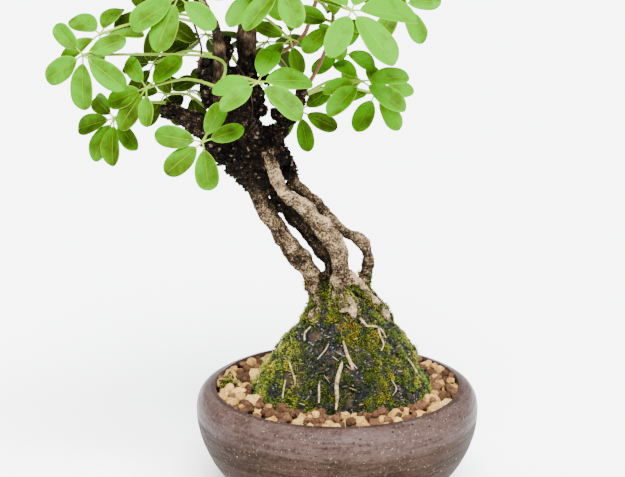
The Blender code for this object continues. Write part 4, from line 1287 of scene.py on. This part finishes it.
def grow_leaf(bud, leaf, rng):
    """The stalk's points and the leaflets of one leaf, the leaflets in order round the hub."""
    hub, normal = vec(*leaf.hub), facing(*leaf.face)
    right, up = leaf_axes(normal)
    reach = hub - bud
    first = vec(*leaf.via) if leaf.via else bud + reach * 0.45 + Vector((0, 0, 0.11 * reach.length))
    stalk = [bud, first, hub]
    leaflets = []
    for angle, share in sorted(zip(leaf.fan, LEAFLET_SHARE)):
        turn = math.radians(leaf.turn + angle + rng.uniform(-5, 5))
        droop = math.radians(rng.uniform(2, 16))
        out = right * math.cos(turn) + up * math.sin(turn)
        along = out * math.cos(droop) - normal * math.sin(droop)
        face = normal * math.cos(droop) + out * math.sin(droop)
        length = leaf.size * share * rng.uniform(0.94, 1.06) * MM
        leaflets.append(Leaflet(hub, out, along, face.cross(along), face, length,
                                length * rng.uniform(0.25, 0.29), length * rng.uniform(0.04, 0.15)))
    return Grown(stalk, hub, leaflets)


def blade_point(leaflet, share, across=0.0):
    """A point of the blade's middle surface: share of its length, and across from -1 to 1 of its half width."""
    at = leaflet.hub + leaflet.along * (STALKLET * MM + leaflet.length * share)
    at = at - leaflet.normal * leaflet.sag * share * share
    return at + leaflet.side * across * leaflet.width


# %% What a leaf would cross
def leaf_tree(grown, thick):
    """The leaf as plain slabs and a plain stalk, to find what it would cross."""
    points, faces = [], []
    for leaflet in grown.leaflets:
        rows = [[leaflet.hub - leaflet.side * MM, leaflet.hub + leaflet.side * MM]]
        rows += [[blade_point(leaflet, s, -w), blade_point(leaflet, s, w)] for s, w in BLADE_ROWS]
        for side in (-thick / 2, thick / 2):
            first = len(points)
            points += [p + leaflet.normal * side for row in rows for p in row]
            for i in range(first, first + 2 * len(rows) - 2, 2):
                faces.append((i, i + 1, i + 3, i + 2))
    for a, b in zip(grown.stalk[:-1], grown.stalk[1:]):
        for side in (Vector((thick, 0, 0)), Vector((0, thick, 0)), Vector((0, 0, thick))):
            first = len(points)
            points += [a - side, a + side, b + side, b - side]
            faces.append((first, first + 1, first + 2, first + 3))
    return BVHTree.FromPolygons(points, faces)


def limb_runs():
    """Every limb, twiner and burr as (start, end, radius at the start, radius at the end) runs."""
    runs = []
    for limb in list(LIMBS.values()) + list(TWINERS.values()):
        for (ax, ay, az, ar), (bx, by, bz, br) in zip(limb[:-1], limb[1:]):
            runs.append((vec(ax, ay, az), vec(bx, by, bz), ar * WOOD_SWELL * MM, br * WOOD_SWELL * MM))
    return runs + [(vec(x, y, z), vec(x, y, z + 0.1), r * MM, r * MM) for x, y, z, r in BURRS]


def nearest_limb(point, runs):
    """The nearest limb's axis point, its radius there, and how far its skin is from this point."""
    best = None
    for start, end, start_radius, end_radius in runs:
        line = end - start
        share = max(0.0, min(1.0, (point - start).dot(line) / line.length_squared))
        axis = start + line * share
        radius = start_radius + (end_radius - start_radius) * share
        room = (axis - point).length - radius
        if best is None or room < best[2]:
            best = (axis, radius, room)
    return best


def seat_bud(bud, runs):
    """The bud moved to the skin of the nearest limb."""
    axis, radius, _ = nearest_limb(bud, runs)
    rise = BUD_RISE if radius > THIN_LIMB * MM else THIN_RISE
    return axis + (bud - axis).normalized() * (radius + rise * MM)


def meets_wood(grown, runs, room):
    """Whether a blade, or the stalk away from its bud, comes too close to a limb."""
    probes = [blade_point(f, s, w) for f in grown.leaflets for s in (0.0, 0.35, 0.7, 1.0) for w in (-0.9, 0.0, 0.9)]
    bud, first, hub = grown.stalk
    probes += [bud.lerp(first, 0.4), bud.lerp(first, 0.7), first, first.lerp(hub, 0.33), first.lerp(hub, 0.67), hub]
    return any(nearest_limb(probe, runs)[2] < room for probe in probes)


# %% Plan the crown
def crown_leaf(bud, outward, tilt, rng):
    """A leaf for the crown: held out from its bud, looking up and outwards, its middle leaflet furthest out."""
    reach = rng.uniform(*STALK_REACH)
    out = (outward + Vector((0, 0, tilt + rng.uniform(-0.25, 0.35)))).normalized()
    hub = bud / MM + out * reach
    face_up = rng.uniform(35, 80)
    azimuth = math.degrees(math.atan2(out.x, -out.y)) + rng.uniform(-35, 35)
    right, up = leaf_axes(facing(azimuth, face_up))
    turn = math.degrees(math.atan2(out.dot(up), out.dot(right)))
    return Leaf(tuple(hub), (azimuth, face_up), turn, rng.uniform(*CROWN_LEAFLET))


def plan_leaves():
    """Every spur's bud and grown leaves, by name. The crown's leaves are drawn until they cross nothing."""
    rng = random.Random(LEAF_SEED)
    runs = limb_runs()
    spurs, taken = {}, []
    for name, spur in FRONT_SPURS.items():
        bud = seat_bud(vec(*spur.bud), runs)
        grown = [grow_leaf(bud, leaf, rng) for leaf in spur.leaves]
        spurs[name] = (bud, grown)
        taken += [leaf_tree(g, CLEARANCE * MM) for g in grown]
    turn = 0.0
    buds = [bud for bud, _ in spurs.values()]
    for limb_name, stations in CROWN_BUDS.items():
        limb = LIMBS.get(limb_name) or TWINERS[limb_name]
        for station in stations:
            x, y, z, radius = limb[station]
            turn += GOLDEN_ANGLE
            side = Vector((math.cos(math.radians(turn)), math.sin(math.radians(turn)), 0))
            bud = seat_bud(vec(x, y, z) + side * radius * MM, runs)
            grown, trees = [], []
            if any((bud - other).length < BUD_ROOM * MM for other in buds):
                continue
            buds.append(bud)
            for lead in BUD_LEADS:
                for _ in range(CROWN_TRIES):
                    angle = math.radians(turn + lead + rng.uniform(-30, 30))
                    outward = Vector((math.cos(angle), math.sin(angle), 0))
                    tilt = 0.9 if station == len(limb) - 1 else 0.15
                    tried = grow_leaf(bud, crown_leaf(bud, outward, tilt, rng), rng)
                    tree = leaf_tree(tried, CLEARANCE * MM)
                    if meets_wood(tried, runs, 2 * MM) or any(tree.overlap(other) for other in taken):
                        continue
                    grown.append(tried)
                    trees.append(tree)
                    break
            if grown:
                spurs[f"leaves_{limb_name}_{station}"] = (bud, grown)
                taken += trees
    return spurs


spurs = plan_leaves()
print("clusters:", len(spurs), "leaves:", sum(len(grown) for _, grown in spurs.values()))
print("same clusters as the part:", sorted(spurs) == sorted(n for n in frame["nodes"] if n.startswith("leaves_")))

# %% [markdown]
# ## A leaflet
#
# A leaflet is a thin blade, widest past its middle, with a notch at the tip, a fold along its midrib and
# an edge that waves a little. It starts as a flat grid; each of its points is moved to its place along
# and across the blade. Each point remembers both, and a number for its leaf's tone and painted shade, for
# the finish to read.

# %% Shape a leaflet
GRID_ACROSS = 8
GRID_ALONG = 14
BLADE_SKIN = 0.34


def half_width(share):
    """The half width of a blade at a share of its length: widest past the middle, round at both ends."""
    return max(0.0, 1 - abs(2 * share ** 1.22 - 1) ** 2.3) ** 0.56


def add_blade(bm, leaflet, mood, layers, rng):
    """Add one leaflet's blade as a sheet, facing up."""
    made = bmesh.ops.create_grid(bm, x_segments=GRID_ACROSS, y_segments=GRID_ALONG, size=0.5)["verts"]
    fold = rng.uniform(0.14, 0.50)
    wave = rng.uniform(0.2, 0.7) * MM
    phase = rng.uniform(0, math.tau)
    curl = rng.uniform(-0.06, 0.16)
    across_layer, along_layer, mood_layer = layers
    for vertex in made:
        across = vertex.co.x * 2
        along = 0.5 - 0.5 * math.cos(math.pi * (vertex.co.y + 0.5))
        width = max(0.02, half_width(along)) * leaflet.width
        notch = 0.035 * math.exp(-(across / 0.3) ** 2) * along ** 8
        lift = abs(across) ** 1.4 * width * fold - across * across * width * curl
        lift += math.sin(along * 8 + phase + across) * abs(across) * wave * half_width(along)
        vertex.co = blade_point(leaflet, along * (1 - notch)) + leaflet.side * across * width + leaflet.normal * lift
        vertex[across_layer] = across
        vertex[along_layer] = along
        vertex[mood_layer] = mood
    for face in {face for vertex in made for face in vertex.link_faces}:
        face.normal_update()
        if face.normal.dot(leaflet.normal) < 0:
            face.normal_flip()


# %% Leaf finishes
# the ramp runs from lit fresh green to shaded olive; where a leaf lies on it is partly its own tone, partly painted
# shade
BLADE_FRESH_AND_LIT = (0.030, 0.135, 0.0002)
BLADE_PLAIN = (0.024, 0.068, 0.0002)
BLADE_OLIVE_AND_SHADED = (0.0120, 0.0215, 0.0008)
BLADE_VEIN = (0.095, 0.175, 0.006)


def blade_finish(name, greens, vein, rough):
    """A blade's green, with its midrib, side veins and pale edge."""
    finish = Finish(name, Roughness=rough, Specular_IOR_Level=0.02)
    across, along, mood = finish.trait("across"), finish.trait("along"), finish.trait("mood")
    side = across.maths("ABSOLUTE")
    cloud = finish.noise(95, 3, 0.5)
    fleck = finish.noise(620, 3, 0.6)
    # painted shade: one half of each blade, beside the midrib, is darker, as the shaded side of its fold; the green
    # also lightens towards the edge
    green = finish.ramp(mood + (cloud - 0.5) * 1.8 + (fleck - 0.5) * 0.5 + across * 0.18 - side * 0.22 + 0.18, list(zip((0.1, 0.5, 0.95), greens)))
    rib = (1 - side.between(0.02, 0.07)) * (1 - along * 0.6)
    branch = ((along * 10 - side * 2.6 + across * 0.3) * math.tau).maths("SINE").between(0.8, 1.0) * (1 - side * 0.8)
    edge = side.between(0.91, 0.97)
    green = finish.mix(branch * 0.10, green, vein)
    green = finish.mix(edge * 0.7, green, vein)
    green = finish.mix(rib * 0.7, green, vein)
    return finish.wear(green, cloud * 0.24 + (rough - 0.12), rib * -1.0 + branch * -0.3 + finish.noise(900, 3) * 0.25, 0.0003)


blade_top = blade_finish("blade_top", (BLADE_FRESH_AND_LIT, BLADE_PLAIN, BLADE_OLIVE_AND_SHADED), BLADE_VEIN, 0.4)
blade_under = blade_finish("blade_under", ((0.036, 0.074, 0.006), (0.026, 0.046, 0.004), (0.016, 0.026, 0.003)), (0.07, 0.11, 0.02), 0.6)
stalk = Finish("leaf_stalk", Roughness=0.45, Specular_IOR_Level=0.12)
stalk_green = stalk.wear(stalk.mix(stalk.noise(70, 2).between(0.3, 0.7), (0.075, 0.145, 0.004), (0.150, 0.235, 0.012)), height=stalk.noise(900), depth=0.0001)
scales = Finish("bud_scale", Roughness=0.7, Specular_IOR_Level=0.05)
bud_brown = scales.wear(scales.mix(scales.noise(500), (0.009, 0.005, 0.003), (0.038, 0.021, 0.010)), height=scales.noise(900), depth=0.0004)

# %% [markdown]
# ## The clusters
#
# Each cluster is one piece: its bud on the wood, its arching stalks, the hubs with their short stalklets,
# the midribs under the blades, and the blades themselves, given their thickness last, so that the under
# side gets a finish of its own.

# %% Stalks of a leaf
def stalk_lines(leaf):
    """The stalk, the stalklets and the midribs of one leaf, as rows of (x, y, z, radius)."""
    middle = smooth_line([tuple(p / MM) for p in leaf.stalk], 7)
    count = len(middle) - 1
    rows = [[(x, y, z, 0.76 + 0.70 * (1 - i / count) ** 7 + 0.14 * (i / count) ** 10) for i, (x, y, z) in enumerate(middle)]]
    for leaflet in leaf.leaflets:
        foot = blade_point(leaflet, 0.02) - leaflet.normal * 0.15 * MM
        bend = leaflet.hub.lerp(foot, 0.5) + leaflet.normal * 0.25 * MM
        line = [leaflet.hub, bend, foot] + [blade_point(leaflet, s) - leaflet.normal * 0.24 * MM for s in (0.2, 0.4, 0.6, 0.8)]
        rows.append([(*(p / MM), r) for p, r in zip(line, (0.55, 0.42, 0.42, 0.33, 0.27, 0.2, 0.12))])
    return rows


# %% Grow the clusters
BUD_SCALES = 5
DEPTH_OF_CROWN = 75


def make_cluster(name, bud, grown, rng):
    """One finished cluster of leaves."""
    bm = bmesh.new()
    layers = [bm.verts.layers.float.new(key) for key in ("across", "along", "mood")]
    for leaf in grown:
        # painted shade: leaves further back and those of the group at the far left get darker, olive greens; leaves
        # right of the axis get lighter ones
        left_group_shade = max(0, 1 - abs(leaf.hub.x / MM + 108) / 28)
        back_shade = max(0, min(1, 0.16 + leaf.hub.y / MM / DEPTH_OF_CROWN + 0.7 * left_group_shade))
        mood = 0.38 * rng.random() + 0.80 * back_shade - (0.16 if leaf.hub.x > 0 else 0)
        for leaflet in leaf.leaflets:
            add_blade(bm, leaflet, mood + rng.uniform(-0.12, 0.12), layers, rng)
    sheet = from_bmesh("sheet", bm)
    solid = sheet.modifiers.new("thickness", "SOLIDIFY")
    solid.thickness = BLADE_SKIN * MM
    solid.offset = 0
    solid.material_offset = 1
    for material in (blade_top, blade_under):
        sheet.data.materials.append(material)
    sheet = applied(sheet)
    wires = tubes("stalks", [row for leaf in grown for row in stalk_lines(leaf)], 2)
    bm = bmesh.new()
    for part in (sheet, wires):
        first = len(bm.faces)
        bm.from_mesh(part.data)
        bpy.data.objects.remove(part)
    for leaf in grown:
        bmesh.ops.create_icosphere(bm, subdivisions=2, radius=0.95 * MM, matrix=Matrix.Translation(leaf.hub))
    brown = len(bm.faces)
    outwards = (bud - nearest_limb(bud, RUNS)[0]).normalized().to_track_quat("Z", "Y").to_matrix().to_4x4()
    for scale in range(BUD_SCALES):
        turn = Matrix.Rotation(scale * 2.4, 4, "Z") @ Matrix.Rotation(0.35, 4, "Y")
        shape = Matrix.Translation((0.7 * MM, 0, 0)) @ Matrix.Diagonal((0.7, 0.9, 1.5, 1))
        bmesh.ops.create_icosphere(bm, subdivisions=1, radius=1.3 * MM, matrix=Matrix.Translation(bud) @ outwards @ turn @ shape)
    bm.faces.ensure_lookup_table()
    for face in bm.faces[first:]:
        face.material_index = 2 if face.index < brown else 3
    return from_bmesh(name + "_fine", bm)


RUNS = limb_runs()
rng = random.Random(77)
for name, (bud, grown) in spurs.items():
    keep(make_cluster(name, bud, grown, rng), [blade_top, blade_under, stalk_green, bud_brown], [name])

# %% [markdown]
# ## Dry tendrils
#
# A dry black tendril hangs from the left stem, and two reddish ones cross the trunk.

# %% Tendrils
TENDRILS = [
    [(-75, -8, 297, 0.7), (-77, -12, 291, 0.7), (-77.5, -15, 284, 0.66), (-75, -17, 276, 0.66), (-73, -17, 268, 0.66), (-74, -14, 261, 0.66), (-76, -10, 254, 0.7)],
    [(-57, -12, 262, 0.35), (-53, -15, 257, 0.33), (-49.5, -17, 252, 0.3), (-47.5, -19, 246, 0.25)],
    [(-47, -18, 244, 0.3), (-46, -17, 236, 0.3), (-47, -17, 229, 0.28)],
]
tendrils = tubes("dry_tendrils", [smooth_line(t, 6) for t in TENDRILS], 2)
dry = Finish("dry_tendril", Roughness=0.6, Specular_IOR_Level=0.06)
dry_tone = dry.mix(dry.noise(90, 2).between(0.4, 0.6), (0.006, 0.0045, 0.004), (0.032, 0.014, 0.009))
keep(tendrils, [dry.wear(dry_tone, height=dry.noise(900), depth=0.0002)], [])

# %% [markdown]
# ## Finish
#
# Both boxes are printed, so that the finished object can be compared with its solids.

# %% Sizes and finish
VISUAL_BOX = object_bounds()
for side, cad_low, cad_high, low, high in zip("xyz", *CAD_BOX, *VISUAL_BOX):
    print(side, "solids", round(cad_low / MM, 1), round(cad_high / MM, 1), "finished", round(low / MM, 1), round(high / MM, 1))
print("triangles in all:", sum(len(f.vertices) - 2 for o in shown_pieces() if o.type == "MESH" for f in o.data.polygons))
